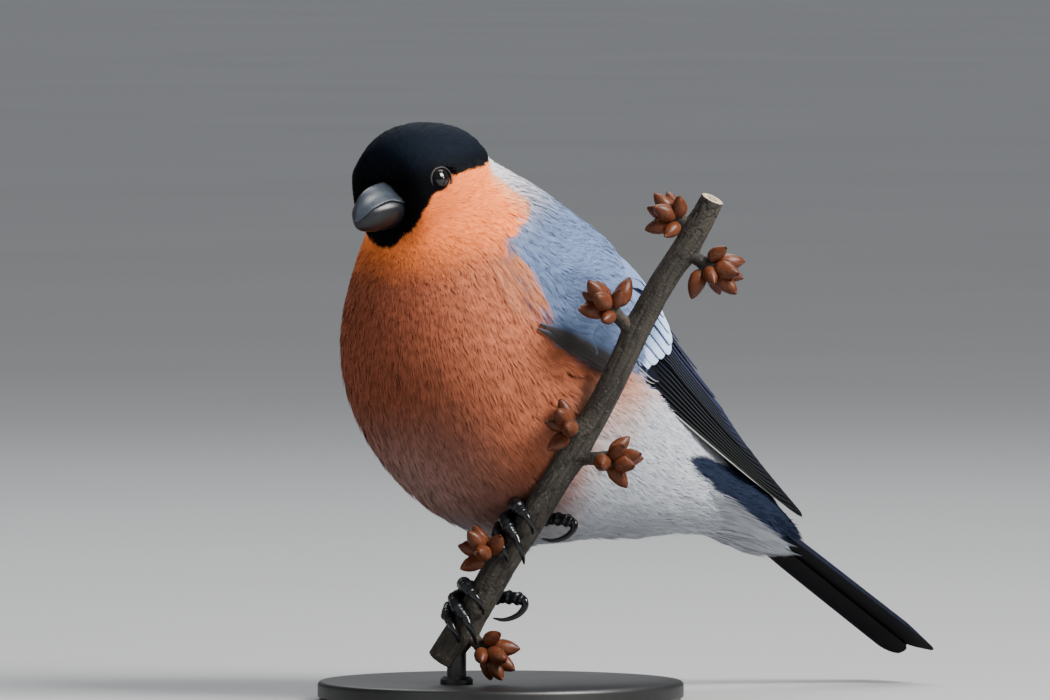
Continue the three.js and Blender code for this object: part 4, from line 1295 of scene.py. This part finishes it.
def dusk_tint(x, c):
    pale = 0.8 * smoothstep(0.975, 0.995, x)
    dusk = lerp(MANTLE * 0.6, DUSK * 1.2, smoothstep(-0.95, -0.1, c)[..., None])
    return lerp(dusk, BAR * 0.35, np.clip(pale, 0, 1)[..., None])


covert_finish = web_finish("wing_coverts", Roughness=0.75, Specular_IOR_Level=0.12)
COVERTS, COVERT_WIDE, COVERT_LONG, COVERT_LIFT = 11, 11, 16, 0.75
for side, hand in HANDS:
    webs, tints = [], []
    for q in np.linspace(0.87, 0.06, COVERTS):
        end = edge_at(COVERT_EDGE, q) + 0.006 * np.sin(40 * q)
        high, near, far = edge_at(STACK, [q, q - 0.1, q + 0.1])
        place = along_wing(side, (end - 0.17, q), (end, q))
        item = web(place, COVERT_WIDE, COVERT_LONG, high + COVERT_LIFT, sunk=0.05, tip=0.16, rows=18,
                   root=0.9, tilt=0.03 + 0.14 * (far - near), thick=(0.14, 0.08), bow=0.002)
        webs.append(item)
        tints.append(bar_tint(item[2], item[3]) * rng.uniform(0.96, 1.04))
    web_piece(f"greater_coverts_{hand}", "mantle_plumage", covert_finish, webs, tints)
    webs, tints = [], []
    for root, tip, wide, high in EDGE_ROWS:
        item = web(on_lie(side, root, tip), wide, WING_LONG * (tip[0] - root[0]), high, tip=0.22, rows=30,
                   root=0.15, tilt=0.05, thick=(0.16, 0.1))
        webs.append(item)
        tints.append(dusk_tint(item[2], item[3]))
    web_piece(f"edge_coverts_{hand}", "wing_feathers", covert_finish, webs, tints)

# %% [markdown]
# Twelve feathers make the tail, closed into a narrow fan with a notch, the middle pair on top.

# %% Tail
TAIL = dict(y=60, z=-23.7, slope=33.1, roll=6, pairs=6, length=[57, 61], root=0.45, spread=[0.7, 3.6])
TAIL_AT, TAIL_EDGE = np.array([0, TAIL["y"], TAIL["z"]]), np.array([0.03, 0.034, 0.06])
slope = Matrix.Rotation(-math.radians(TAIL["slope"]), 3, "X")
TAIL_TURN = np.array(slope @ Matrix.Rotation(-math.radians(TAIL["roll"]), 3, "Y"))
TAIL_UP = TAIL_TURN[:, 2]


def on_tail(x, y, z):
    return xyz(x, y, z - 0.012 * x * x) @ TAIL_TURN.T + TAIL_AT


tail_finish = web_finish("tail_feathers", Roughness=0.6, Specular_IOR_Level=0.03)
webs, tints = [], []
for pair in range(TAIL["pairs"]):
    share = pair / (TAIL["pairs"] - 1)
    long = lerp(*TAIL["length"], share)
    for side in (1, -1):
        level = -0.34 * (pair + (0 if side > 0 else 0.5))
        aside = side * lerp(*TAIL["spread"], share)

        def place(x, y, lift):
            return on_tail(aside * lerp(TAIL["root"], 1, np.sqrt(x)) + side * y, long * x, lift)

        item = web(place, 7.6, long, level, shaft=0.1 + 0.4 * share, tilt=0, sunk=1, tip=0.07, root=0.72,
                   rows=28, thick=(0.3, 0.18))
        webs.append(item)
        # The tail also takes the painted violet sheen, most of all on its middle pair.
        tints.append(flight_tint(item[2], item[3], TAIL_EDGE, 0.8, 0.8 - 0.5 * share))
# Undersides at 0.15 of the top: a duller feather underside, and painted shade under the tail besides.
web_piece("tail_fan", "tail_feathers", tail_finish, webs, tints, "tail", under=0.15)

# %% [markdown]
# Glossy blue-black coverts lie over the root of the tail in scalloped rows.

# %% Tail coverts
gloss_finish = Finish("tail_coverts", Roughness=0.6, Specular_IOR_Level=0.05)
gloss_finish.colour(gloss_finish.painted())


def rows_of(rows, step):
    """Places x across and y along the tail, in rows given by their y and half width."""
    return np.array([(x, y) for y, across in rows for x in np.arange(-across, across + 0.1, step)]).T


def from_root(start, end, lift=0):
    """Four steps from root to tip, lifted in the middle."""
    steps = (0, 1 / 3, 2 / 3, 1)
    return np.stack([lerp(start, end, share) + np.sin(np.pi * share) * lift for share in steps], 1)


x, y = rows_of(((-14, 9), (-9, 8.5), (-4, 7.5), (1, 6), (5, 5), (9, 4), (12, 3.2), (14, 2.4)), 2.6)
start, start_up = body.nearest(on_tail(x, y, 4.0))
ends = on_tail(x * 0.7, y + 12, 0.3 + 0.8 * (14 - y) / 25)
paths = from_root(start, ends, 0.9 * smoothstep(9, -10, y)[:, None] * TAIL_UP)
navy = shaded(lambda points, x, y: NAVY * (0.7 + 0.6 * smoothstep(0.4, 1, x))[..., None], 0.1)
coat_piece("tail_coverts", "tail_feathers", paths, unit(from_root(start_up, TAIL_UP)), 6.2, -0.03,
           (-0.4, 0.2), 23, navy, finish=gloss_finish, ruffle=0.012, curl=0.02)

# %% [markdown]
# Under the tail the white vent feathers grow long and end in a soft point against the quills.

# %% Undertail coverts
x, y = rows_of(((4, 8), (8, 8), (12, 7.5), (16, 6.8), (20, 5)), 1.5)
start, start_up = body.nearest(on_tail(x * 1.3, y - 21, -9.0))
ends = on_tail(x * 0.95, y + 3, -2.9 - 0.05 * (21 - y))
paths = from_root(start, ends, -0.5 * TAIL_UP)
paths[:, 1] = lerp(paths[:, 1], body.nearest(paths[:, 1])[0], 0.8)


def vent_white(points, x, y):
    """White, but navy where a feather reaches round to the upper side of the tail."""
    above = smoothstep(0.4, 1.0, (points - TAIL_AT) @ TAIL_UP)
    return blend(WHITE * (0.8 + 0.2 * x)[..., None], NAVY, above)


coat_piece("undertail_coverts", "vent_plumage", paths, unit(from_root(start_up, -TAIL_UP)), 6, -0.01,
           (-0.7, 0.1), 21, shaded(vent_white, 0.04), soft=1.0, ruffle=0.03, curl=0.02)

# %% [markdown]
# The bill is short and deep with a curved ridge. It is two closed forms that meet at the mouth
# line, the upper one overhanging the lower a little and ending in a small hook.

# %% Bill
# The mouth line from the corner to the hook: ahead and above
MOUTH = np.array([[6, -3.1], [8, -2.9], [10.5, -2.2], [13.2, -1.1], [17.2, -2], [18.9, -3.2], [20.4, -4.7]])


def mouth_height(f):
    return edge_at(spline(MOUTH, np.linspace(0, 1, 200)), f)


def bill_section(x):
    inside = np.clip(x, 0, 1)
    round_ = np.sqrt(1 - inside**3)
    low_round = np.sqrt(1 - (inside / 1.001) ** 2.2)
    top, low = -4.7 + 6.45 * round_, -4.8 - 2.45 * low_round
    wide = 4.8 * (1 - inside**1.9) ** 0.68
    shrink = 1 - 0.25 * np.clip(-x / 0.25, 0, 1)
    return 10.5 + 9.6 * x, (top + low) / 2, wide * shrink, (top - low) / 2 * shrink


def bill_half(upper, rows=44, sides=34):
    x = np.concatenate([np.linspace(-0.25, -0.02, 5), np.sin(np.pi / 2 * np.linspace(0, 1, rows)) * 0.996])
    f, middle, wide, tall = bill_section(x)
    edge = np.arcsin(np.clip((mouth_height(f) - middle) / tall, -1, 1))
    keep = edge > (-4 if upper else -1.35)
    f, middle, wide, tall, edge = (part[keep, None] for part in (f, middle, wide, tall, edge))
    share = np.linspace(0, 1, sides)
    turn = edge + (np.pi - 2 * edge) * share if upper else edge - (np.pi + 2 * edge) * share
    tuck = 1.0 if upper else 1 - 0.045 * np.exp(-((share - 0.5) ** 2 - 0.25) ** 2 / 0.004)
    keel = 1 + (0.03 * np.exp(-((turn - np.pi / 2) / 0.28) ** 2) if upper else 0)
    flat = 1 - 0.17 * np.sin(2 * turn) ** 2 * (np.sin(turn) > 0)
    l = wide * np.cos(turn) * tuck * flat
    h = middle + tall * np.sin(turn) * keel * flat
    back = np.linspace(0, 1, 10)[1:-1]
    arch = (0.5 if upper else 0.125) * np.sin(np.pi * back)
    l = np.hstack([l, lerp(l[:, -1:], l[:, :1], back)])
    h = np.hstack([h, lerp(h[:, -1:], h[:, :1], back) + arch])
    return capped(on_head(f + 0 * l, l, h if upper else h - 0.07))


def horn_finish(name, deep, light):
    horn = Finish(name, Specular_IOR_Level=0.42)
    horn.colour(horn.mottle(700, (0.3, deep), (0.75, light)))
    horn.rough(horn.noise(horn.place(), 1500), 0.27, 0.42)
    horn.grain(2600, 0.12, 0.0002, detail=5)
    return horn.material


# The upper mandible is painted lighter and bluer than the lower: a painted reflection of the sky on it.
sky_lit_horn = horn_finish("bill_upper_horn", (0.020, 0.026, 0.036), (0.036, 0.045, 0.060))
black_horn = horn_finish("bill_lower_horn", (0.004, 0.0045, 0.006), (0.010, 0.012, 0.015))
upper_bill = merged("bill_top", [bill_half(True)], sky_lit_horn)
lower_bill = merged("bill_bottom", [bill_half(False)], black_horn)
settle(upper_bill, "bill_horn", "bill_upper")
settle(lower_bill, "bill_horn", "bill_lower")

# %% [markdown]
# The eye is one glossy dark ball behind a thin ring of bare skin. Its lower lid shows as a fine
# pale line in the photo.

# %% Eyes
EYE_RADIUS, LID_STEPS = 2.42, 72
# Radius and lift of each ring of the lid's section
LID_SECTION = [(2.04, 1.28), (2.12, 1.6), (2.28, 1.66), (2.46, 1.42), (2.56, 0.9), (2.2, 0.8)]
LID_DARK, LID_PALE = np.full(3, 0.012), np.array([0.075, 0.080, 0.088])
eye_finish = Finish("eye", Roughness=0.03, Specular_IOR_Level=0.6)
from_pupil = eye_finish.add("ShaderNodeAttribute", attribute_name="gaze").outputs["Fac"]
eye_finish.colour(eye_finish.ramp(
    from_pupil, (0.0, grey(0.003)), (0.5, grey(0.004)), (0.56, (0.022, 0.011, 0.006)),
    (0.85, (0.014, 0.007, 0.004)), (1.0, grey(0.003))))
lid_finish = Finish("eyelid", Roughness=0.55)
lid_finish.colour(lid_finish.painted())
lid_finish.grain(3500, 0.3, 0.0001)


def basis(way, hint=(0, 0, 1)):
    side = unit(np.cross(hint, way))
    return np.stack([side, np.cross(way, side), way], -1)


def eye_ball(hand, centre, gaze):
    thing = merged(f"eye_ball_{hand}", [ball(centre, EYE_RADIUS, turn=basis(gaze))], eye_finish.material)
    points = from_frame(np.array([v.co for v in thing.data.vertices]))
    measure(thing, "gaze", np.arccos(np.clip(unit(points - centre) @ gaze, -1, 1)) / (np.pi / 2))
    settle(thing, "eye", f"eye_{hand}")


def eyelid(hand, centre, gaze):
    """A ring of bare skin round the eye, pale along its lower side."""
    spin, (side, up) = spins(LID_STEPS)[:, None], basis(gaze).T[:2]
    out = np.cos(spin) * side * 1.04 + np.sin(spin) * up
    rings = np.stack([centre + gaze * lift + out * radius for radius, lift in LID_SECTION], 1)
    count = len(LID_SECTION)
    last = grid_faces(2, count, closed=True)
    last = np.where(last < count, last + (LID_STEPS - 1) * count, last - count)
    faces = np.vstack([grid_faces(LID_STEPS, count, closed=True), last])
    lid = mesh_object(f"eyelid_{hand}", rings.reshape(-1, 3), faces, lid_finish.material)
    work = bmesh.new()
    work.from_mesh(lid.data)
    bmesh.ops.recalc_face_normals(work, faces=work.faces)
    work.to_mesh(lid.data)
    work.free()
    low = smoothstep(0.2, -0.8, np.sin(spin) * np.sign(up[2]))
    paint(lid, "plumage", np.broadcast_to(blend(LID_DARK, LID_PALE, low), rings.shape).reshape(-1, 3))
    settle(lid, "eye")


for side, hand in HANDS:
    centre = on_eye(side)
    gaze = unit(on_head(5.48, side * 10.3, 1.7) - centre)
    eye_ball(hand, centre, gaze)
    eyelid(hand, centre, gaze)

# %% [markdown]
# Feet grip the twig and buds grow from it, so both need places on it. The twig's line runs
# through a few stations. A place beside it is given by a height, an angle round the bark, a
# reach and a slide along the twig, as in the solids.

# %% Perch places
PERCH_LINE = [
    [-5.3, -56.5, 7.6], [1.2, -46.1, 10.5], [6.4, -37.2, 12.6], [12.2, -28.4, 14.5], [18.8, -17.6, 16.8],
    [25.7, -5.9, 19], [36.2, 15.7, 24], [44.2, 28.4, 27], [47.2, 34.3, 28.5],
]
PERCH_RADIUS, GAP = [3.2, 2.4], 0.3
perch_t = np.linspace(0, 1, 400)
perch_line = spline(np.array([seen(*place) for place in PERCH_LINE]), perch_t)
perch_way = unit(np.gradient(perch_line, axis=0))


def perch_at(height):
    k = int(np.abs(perch_line[:, 2] - height).argmin())
    along = perch_way[k]
    toward = unit(TOWARD_FLAT - along * (TOWARD_FLAT @ along))
    return dict(point=perch_line[k], radius=lerp(*PERCH_RADIUS, perch_t[k]), along=along, toward=toward,
                right=np.cross(along, toward))


def round_perch(place, degrees, reach, slide):
    turn = np.radians(degrees)
    out = place["toward"] * np.cos(turn) + place["right"] * np.sin(turn)
    return place["point"] + out * reach + place["along"] * slide


print("the twig's line runs from", perch_line[0].round(1), "to", perch_line[-1].round(1))

# %% [markdown]
# Each foot has a shank, three toes ahead and one behind. Scutes cross the skin, each toe swells at
# its joints, and it ends in a curved claw of horn.

# %% Feet
FEET = [
    dict(name="left", height=-29.5, heel=[9.5, 15, -27]),
    dict(name="right", height=-45.2, heel=[-2.5, 9.5, -37.2]),
]
# Along each toe and claw: degrees round the twig, clearance and slide
DIGITS = [
    dict(toe=[[182, 0.1, 0], [232, 0.25, 1], [285, 0.2, 1.9], [334, 0, 1.8]],
         claw=[[348, 0.35, 1.6], [372, 0.5, 0.6], [395, 0.05, -0.9]]),
    dict(toe=[[182, 0.1, -0.6], [238, 0.35, -1.3], [298, 0.25, -2], [352, 0, -3.1]],
         claw=[[364, 0.7, -3.6], [386, 1.5, -4.9], [404, 1.9, -6.6]]),
    dict(toe=[[182, 0.1, -1.2], [230, 0.2, -3.4], [272, 0.2, -4.7], [318, 0, -5.6]],
         claw=[[331, 0.35, -6], [352, 0.45, -6.9], [372, 0.05, -8.2]]),
    dict(toe=[[178, 0.1, 0], [140, 0.5, 2.2], [112, 1.9, 4], [96, 3.4, 4.8]],
         claw=[[92, 4.2, 4], [86, 4, 2], [80, 2.4, -0.1], [76, 0.5, -1]]),
]


def led_round(place, points, first, last):
    out = []
    for i, (degrees, clear, slide) in enumerate(points):
        thick = lerp(first, last, i / (len(points) - 1))
        out.append(round_perch(place, degrees, place["radius"] + GAP * 0.7 + thick + clear, slide))
    return np.array(out)


def scutes(period, height):
    return lambda turn, along: height * np.abs(np.sin(np.pi * along / period)) ** 0.5 - height * 0.6


leg_finish = Finish("leg_skin", Roughness=0.3, Specular_IOR_Level=0.35)
leg_finish.colour(leg_finish.mottle(900, (0.3, (0.004, 0.0045, 0.006)), (0.7, (0.011, 0.012, 0.015))))
leg_finish.grain(2600, 0.3, 0.00015, detail=4)
claw_finish = Finish("claw_horn", Roughness=0.16, Specular_IOR_Level=0.45)
claw_finish.colour(claw_finish.mottle(500, (0.3, (0.004, 0.004, 0.005)), (0.8, (0.012, 0.012, 0.014))))
for foot in FEET:
    hand, place = foot["name"], perch_at(foot["height"])
    palm = round_perch(place, 181, place["radius"] + 1.35, -0.4)
    heel, share = np.array(foot["heel"], float), np.linspace(0, 1, 60)
    shank = spline(np.array([heel, lerp(palm, heel, 0.5) + [0, 0, -0.8], palm]), share)
    size = 1.1 + 0.3 * (2 * share - 1) ** 2
    forms = [ball(palm, 1.6), capped(rod_rings(shank, size, 22, scutes(1.7, 0.1)))]
    claws = []
    for digit in DIGITS:
        share = np.linspace(0, 1, 70)
        toe = spline(led_round(place, digit["toe"], 1.15, 0.75), share)
        joints = 0.3 * np.maximum(0, np.cos(2 * np.pi * (share * len(digit["toe"]) - 0.1))) ** 2
        size = (1.34 - 0.34 * share + joints) * np.sqrt(1 - np.clip((share - 0.93) / 0.07, 0, 0.97) ** 2)
        forms.append(capped(rod_rings(toe, size, 20, scutes(0.95, 0.1))))
        share = np.linspace(0, 1, 44)
        claw = spline(np.vstack([toe[-9], toe[-1], led_round(place, digit["claw"], 0.6, 0.1)]), share)
        claws.append(capped(rod_rings(claw, 0.76 * (1 - share) ** 0.55 + 0.05, 16, flat=1.2)))
    settle(merged(f"foot_skin_{hand}", forms, leg_finish.material), "leg_skin", f"foot_{hand}")
    names = [f"claw_{hand}_{k}" for k in range(1, 5)]
    settle(merged(f"claws_{hand}", claws, claw_finish.material), "claw_horn", *names)

# %% [markdown]
# The twig keeps its bark: long cracks, a swelling at each spur, and pale cut ends. The cracks
# are real relief, because they show on the outline, and only the finest grain is a bump. The
# same wandering values that cut the cracks also colour them.

# %% Twig
CLUSTERS = [
    dict(height=24.2, turn=80, count=10, spur=4.4, lift=0.1, spread=1.1),
    dict(height=28.2, turn=-84, count=8, spur=1.8, lift=0.1, spread=1.1),
    dict(height=8.6, turn=-62, count=9, spur=5.6, lift=0.55, spread=1.1),
    dict(height=-15.4, turn=62, count=8, spur=5.4, lift=0.7, spread=1.1),
    dict(height=-11.8, turn=-44, count=5, spur=1.4, lift=0.3, spread=0.9),
    dict(height=-37, turn=-56, count=7, spur=1, lift=0.2, spread=1.1),
    dict(height=-50.4, turn=66, count=9, spur=4.2, lift=-0.1, spread=1.0),
]
ROWS, SIDES, CUT = 300, 64, (0.35, 0.7, 0.96)
OLIVE, UMBER = np.array([0.040, 0.034, 0.025]), np.array([0.029, 0.0225, 0.017])
CRACK, WOOD = np.array([0.0065, 0.0052, 0.0045]), np.array([0.42, 0.33, 0.22])
line = spline(np.array([seen(*place) for place in PERCH_LINE]), np.linspace(0, 1, ROWS))
share, turn = np.linspace(0, 1, ROWS)[:, None], spins(SIDES)
along = share * np.linalg.norm(np.diff(line, axis=0), axis=-1).sum()
radius = lerp(*PERCH_RADIUS, share)
around = xyz(radius * np.cos(turn), radius * np.sin(turn), along * 0.16)
crack = smoothstep(0.72, 1, 1 - np.abs(waver(around, 0.42, 21)))
fibres = waver(around * [1, 1, 0.4], 0.16, 22)
lumps = waver(xyz(radius * np.cos(turn), radius * np.sin(turn), along * 0.5), 1.6, 23)
relief = 0.12 * lumps + 0.05 * fibres - 0.16 * crack
rings = rod_rings(line, radius[:, 0] - 0.06, SIDES)
for item in CLUSTERS:
    place = perch_at(item["height"])
    foot = round_perch(place, item["turn"], place["radius"], 0)
    relief = relief + 0.55 * np.exp(-(np.linalg.norm(rings - foot, axis=-1) / 2.4) ** 2)
rings = rings + unit(rings - line[:, None]) * relief[..., None]
foot_cut = [lerp(line[0], rings[0], scale) for scale in CUT]
top_cut = [lerp(line[-1], rings[-1], scale) for scale in CUT[::-1]]
print("the bark rises and falls by", np.round(np.ptp(relief), 2), "mm")

# %% [markdown]
# Bark is olive and umber in slow patches, paler along its fibres and nearly black in the cracks.
# Pale flecks come from the material alone. The cut ends show bare wood.

# %% Bark
bark = Finish("bark", Roughness=0.8)
fleck = bark.ramp(bark.noise(bark.place(), 900, detail=5), (0.60, grey(0)), (0.68, grey(0.6)))
bark.colour(bark.mix(fleck, bark.painted(), (0.12, 0.105, 0.08)))
bark.grain(1800, 0.8, 0.0004, detail=6)
twig = merged("twig", [capped(np.concatenate([foot_cut, rings, top_cut]))], bark.material)
tone = blend(OLIVE, UMBER, smoothstep(-0.5, 0.7, waver(around * [1, 1, 3], 1.3, 24)))
tone = blend(tone * (1 + 0.25 * fibres[..., None]), CRACK, 0.85 * crack)
pale_end = np.broadcast_to(WOOD, (3 * SIDES, 3))
paint(twig, "plumage", np.vstack([pale_end, tone.reshape(-1, 3), pale_end, WOOD, WOOD]))
settle(twig, "bark", "perch_twig")

# %% [markdown]
# Flower buds sit in clusters on short spurs. All of them are alike, so one bud is modelled with
# its overlapping scales, and it will be copied. Nine scales wind up the bud by the golden angle,
# as leaves do on a stem. Each adds a layer to the bud's radius, and its rim is painted paler.

# %% One bud
BUD_LONG, BUD_RADIUS, SCALES, GOLDEN = 5.7, 1.68, 9, 2.4
CHESTNUT, PALE_RIM = np.array([0.100, 0.026, 0.0095]), np.array([0.15, 0.062, 0.030])
BUD_BASE = np.array([0.045, 0.024, 0.014])


def bud_mesh(rows=18, sides=20):
    x = np.linspace(0, 1, rows)[:, None] ** 1.1
    turn = spins(sides)[None, :]
    size = BUD_RADIUS * np.sin(np.pi * np.clip(x, 0.015, 0.988) ** 0.82) ** 0.6
    layers, rim = np.zeros((2, rows, sides))
    for k in range(SCALES):
        aside = np.abs((turn - k * GOLDEN + np.pi) % (2 * np.pi) - np.pi) / 1.25
        reach = 0.24 + 0.088 * k
        inside = reach * (1 - 0.75 * aside**2) - x
        layers = layers + smoothstep(-0.02, 0.03, inside) * (aside < 1)
        rim = np.maximum(rim, np.exp(-((inside - 0.02) / 0.03) ** 2) * (aside < 0.9))
    size = size * (0.93 + 0.028 * layers)
    tone = blend(CHESTNUT * (0.8 + 0.5 * (1 - x)[..., None]), PALE_RIM, 0.6 * rim)
    tone = blend(tone, BUD_BASE, smoothstep(0.16, 0.03, x + 0 * turn))
    points, faces = capped(xyz(size * np.cos(turn), size * np.sin(turn), BUD_LONG * x))
    return points, faces, np.vstack([tone.reshape(-1, 3), BUD_BASE, CHESTNUT])


bud_finish = Finish("bud_scales", Roughness=0.38, Specular_IOR_Level=0.24)
dull = bud_finish.mottle(600, (0.35, grey(0.45)), (0.65, grey(1.0)))
bud_finish.colour(bud_finish.mix(0.35, bud_finish.painted(), dull, "MULTIPLY"))
bud_finish.grain(1800, 0.2, 0.0002)
bud_points, bud_faces, bud_tone = bud_mesh()
# The copies are set from the frame's own origin, so the one bud is made there
bud_source = mesh_object("bud_source", bud_points + from_frame(np.zeros(3)), bud_faces, bud_finish.material)
paint(bud_source, "plumage", bud_tone)
print("one bud has", len(bud_points), "points")

# %% [markdown]
# Geometry Nodes set copies of the bud on points. Each point carries a direction and a size, and
# the modifier has one input more, Growth, which scales every bud at once. Realize Instances and
# Set Material turn the copies into plain mesh, since instances are left out of an export.

# %% Copies on points


def copies_at(name, source, material, places, ways, sizes):
    """A Geometry Nodes tree that sets realized copies of one object on points."""
    tree = bpy.data.node_groups.new(name, "GeometryNodeTree")

    def socket(label, kind, way="INPUT"):
        return tree.interface.new_socket(label, in_out=way, socket_type="NodeSocket" + kind)

    socket("Geometry", "Geometry")
    what, growth = socket("Source", "Object"), socket("Growth", "Float")
    socket("Geometry", "Geometry", "OUTPUT")
    kinds = dict(
        given="NodeGroupInput", info="GeometryNodeObjectInfo", put="GeometryNodeInstanceOnPoints",
        way="GeometryNodeInputNamedAttribute", size="GeometryNodeInputNamedAttribute",
        turn="FunctionNodeAlignRotationToVector", scale="ShaderNodeMath",
        real="GeometryNodeRealizeInstances", dress="GeometryNodeSetMaterial", out="NodeGroupOutput",
    )
    node = {key: tree.nodes.new(kind) for key, kind in kinds.items()}
    for key, kind in (("way", "FLOAT_VECTOR"), ("size", "FLOAT")):
        node[key].data_type = kind
        node[key].inputs["Name"].default_value = key
    node["turn"].axis, node["scale"].operation = "Z", "MULTIPLY"
    node["dress"].inputs["Material"].default_value = material
    for start, leaving, end, entering in (
        ("given", "Geometry", "put", "Points"), ("given", "Source", "info", "Object"),
        ("info", "Geometry", "put", "Instance"), ("way", "Attribute", "turn", "Vector"),
        ("turn", "Rotation", "put", "Rotation"), ("size", "Attribute", "scale", 0),
        ("given", "Growth", "scale", 1), ("scale", 0, "put", "Scale"),
        ("put", "Instances", "real", "Geometry"), ("real", "Geometry", "dress", "Geometry"),
        ("dress", "Geometry", "out", "Geometry"),
    ):
        tree.links.new(node[start].outputs[leaving], node[end].inputs[entering])
    cloud = bpy.data.meshes.new(name + "_points")
    cloud.from_pydata(to_frame(places).tolist(), [], [])
    holder = bpy.data.objects.new(name + "_points", cloud)
    bpy.context.scene.collection.objects.link(holder)
    measure(holder, "way", ways)
    measure(holder, "size", sizes)
    modifier = holder.modifiers.new(name, "NODES")
    modifier.node_group = tree
    modifier[what.identifier] = source
    modifier[growth.identifier] = 1.0
    holder.update_tag()
    shape = bpy.data.meshes.new_from_object(holder.evaluated_get(bpy.context.evaluated_depsgraph_get()))
    bpy.data.objects.remove(holder)
    thing = bpy.data.objects.new(name, shape)
    bpy.context.scene.collection.objects.link(thing)
    return thing


# %% [markdown]
# Each cluster stands on a wrinkled spur. Its buds wind round the spur's tip, the first ones
# close to its line and the later ones lower down and opened further.

# %% Spurs and buds


def wrinkled(turn, along):
    return 0.09 * np.abs(np.sin(np.pi * along / 0.8 + np.sin(turn))) + 0.06 * np.sin(3 * turn + along)


stems, places, ways, sizes = [], [], [], []
for item in CLUSTERS:
    place = perch_at(item["height"])
    foot = round_perch(place, item["turn"], place["radius"] - 1, 0)
    tip = round_perch(place, item["turn"], place["radius"] + GAP + item["spur"], item["lift"] * item["spur"])
    out = unit(tip - foot)
    side = unit(np.cross(out, place["along"]))
    upward = np.cross(side, out)
    share = np.linspace(0, 1, 40)
    stem = spline(np.array([foot, lerp(foot, tip, 0.5) + 0.2 * side, tip + out * 0.9]), share)
    size = 1.25 + 0.5 * smoothstep(0.4, 1, share) + 0.5 * smoothstep(0.3, 0, share)
    size = size * np.sqrt(1 - np.clip((share - 0.9) / 0.1, 0, 0.98) ** 2)
    stems.append(capped(rod_rings(stem, size, 26, wrinkled)))
    for k in range(item["count"]):
        spin, low = k * GOLDEN, (k + 0.2) / item["count"]
        opened = item["spread"] * lerp(0.16, 1.22, low)
        aside = upward * np.cos(spin) + side * np.sin(spin)
        sunk = lerp(0.9, -min(2.6, 0.6 * item["spur"]), low)
        places.append(tip + out * sunk + aside * lerp(0.3, 1.5, low))
        ways.append(unit(out * np.cos(opened) + aside * np.sin(opened) + rng.normal(0, 0.06, 3)))
        sizes.append(0.97 + 0.12 * np.sin(3 * k + item["height"]))
spurs = merged("spurs", stems, bark.material)
spur_points = np.array([v.co for v in spurs.data.vertices]) / MM
SPUR_TONE = np.array([0.042, 0.028, 0.019])
paint(spurs, "plumage", blend(UMBER * 0.4, SPUR_TONE, smoothstep(-0.6, 0.6, waver(spur_points, 0.5, 31))))
settle(spurs, "bark")
buds = copies_at("buds", bud_source, bud_finish.material, np.array(places), np.array(ways), np.array(sizes))
bpy.data.objects.remove(bud_source)
settle(buds, "bud_scales", *[f"perch_buds_{k}" for k in range(1, len(CLUSTERS) + 1)])
print(len(places), "buds on", len(CLUSTERS), "spurs")

# %% [markdown]
# The stand is plain: a turned base with a softened edge and a thin rod up into the twig. A
# profile turned round the upright axis gives both, and sharp edges are marked by angle so that
# the flat faces stay flat.

# %% Stand
metal = Finish("stand_metal", Roughness=0.42, Metallic=0.85)
metal.colour(metal.mottle(60, (0.3, grey(0.045)), (0.7, grey(0.06))))
metal.grain(1500, 0.08, 0.0002, stretch=(1, 1, 0.2))
BASE_WIDE, BASE_TALL, BASE_ROUND, BASE_LOW, ROD_LIFT = 36, 3.5, 0.9, -64.7, 0.05
ROD, COLLAR = [(1.9, 0), (1.9, 3), (1.9, 8)], [(3.2, 0), (3.2, 0.9), (2.6, 1.5), (1.9, 1.5)]


def crisp(thing, degrees=35):
    thing.data.set_sharp_from_angle(angle=math.radians(degrees))
    return thing


def turned(profile, centre, sides=128):
    radius, height = np.array(profile, float).T[:, :, None]
    rings = xyz(radius * np.cos(spins(sides)), radius * np.sin(spins(sides)), height)
    return capped(rings + centre)


round_edge = [(BASE_WIDE - BASE_ROUND * (1 - np.sin(a)), BASE_TALL - BASE_ROUND * (1 - np.cos(a)))
              for a in np.linspace(np.pi / 2, 0, 7)]
profile = [(12, 0), (35.4, 0), (36, 0.5), *round_edge, (24, BASE_TALL), (12, BASE_TALL)]
base = merged("base", [turned(profile, seen(6, BASE_LOW, -4))], metal.material)
settle(crisp(base), "stand_metal", "stand_base")
rod_foot = seen(-2.6, BASE_LOW + BASE_TALL + ROD_LIFT, 8.4)
rod = merged("rod", [turned(ROD, rod_foot, 48), turned(COLLAR, rod_foot, 48)], metal.material)
settle(crisp(rod), "stand_metal", "stand_rod")
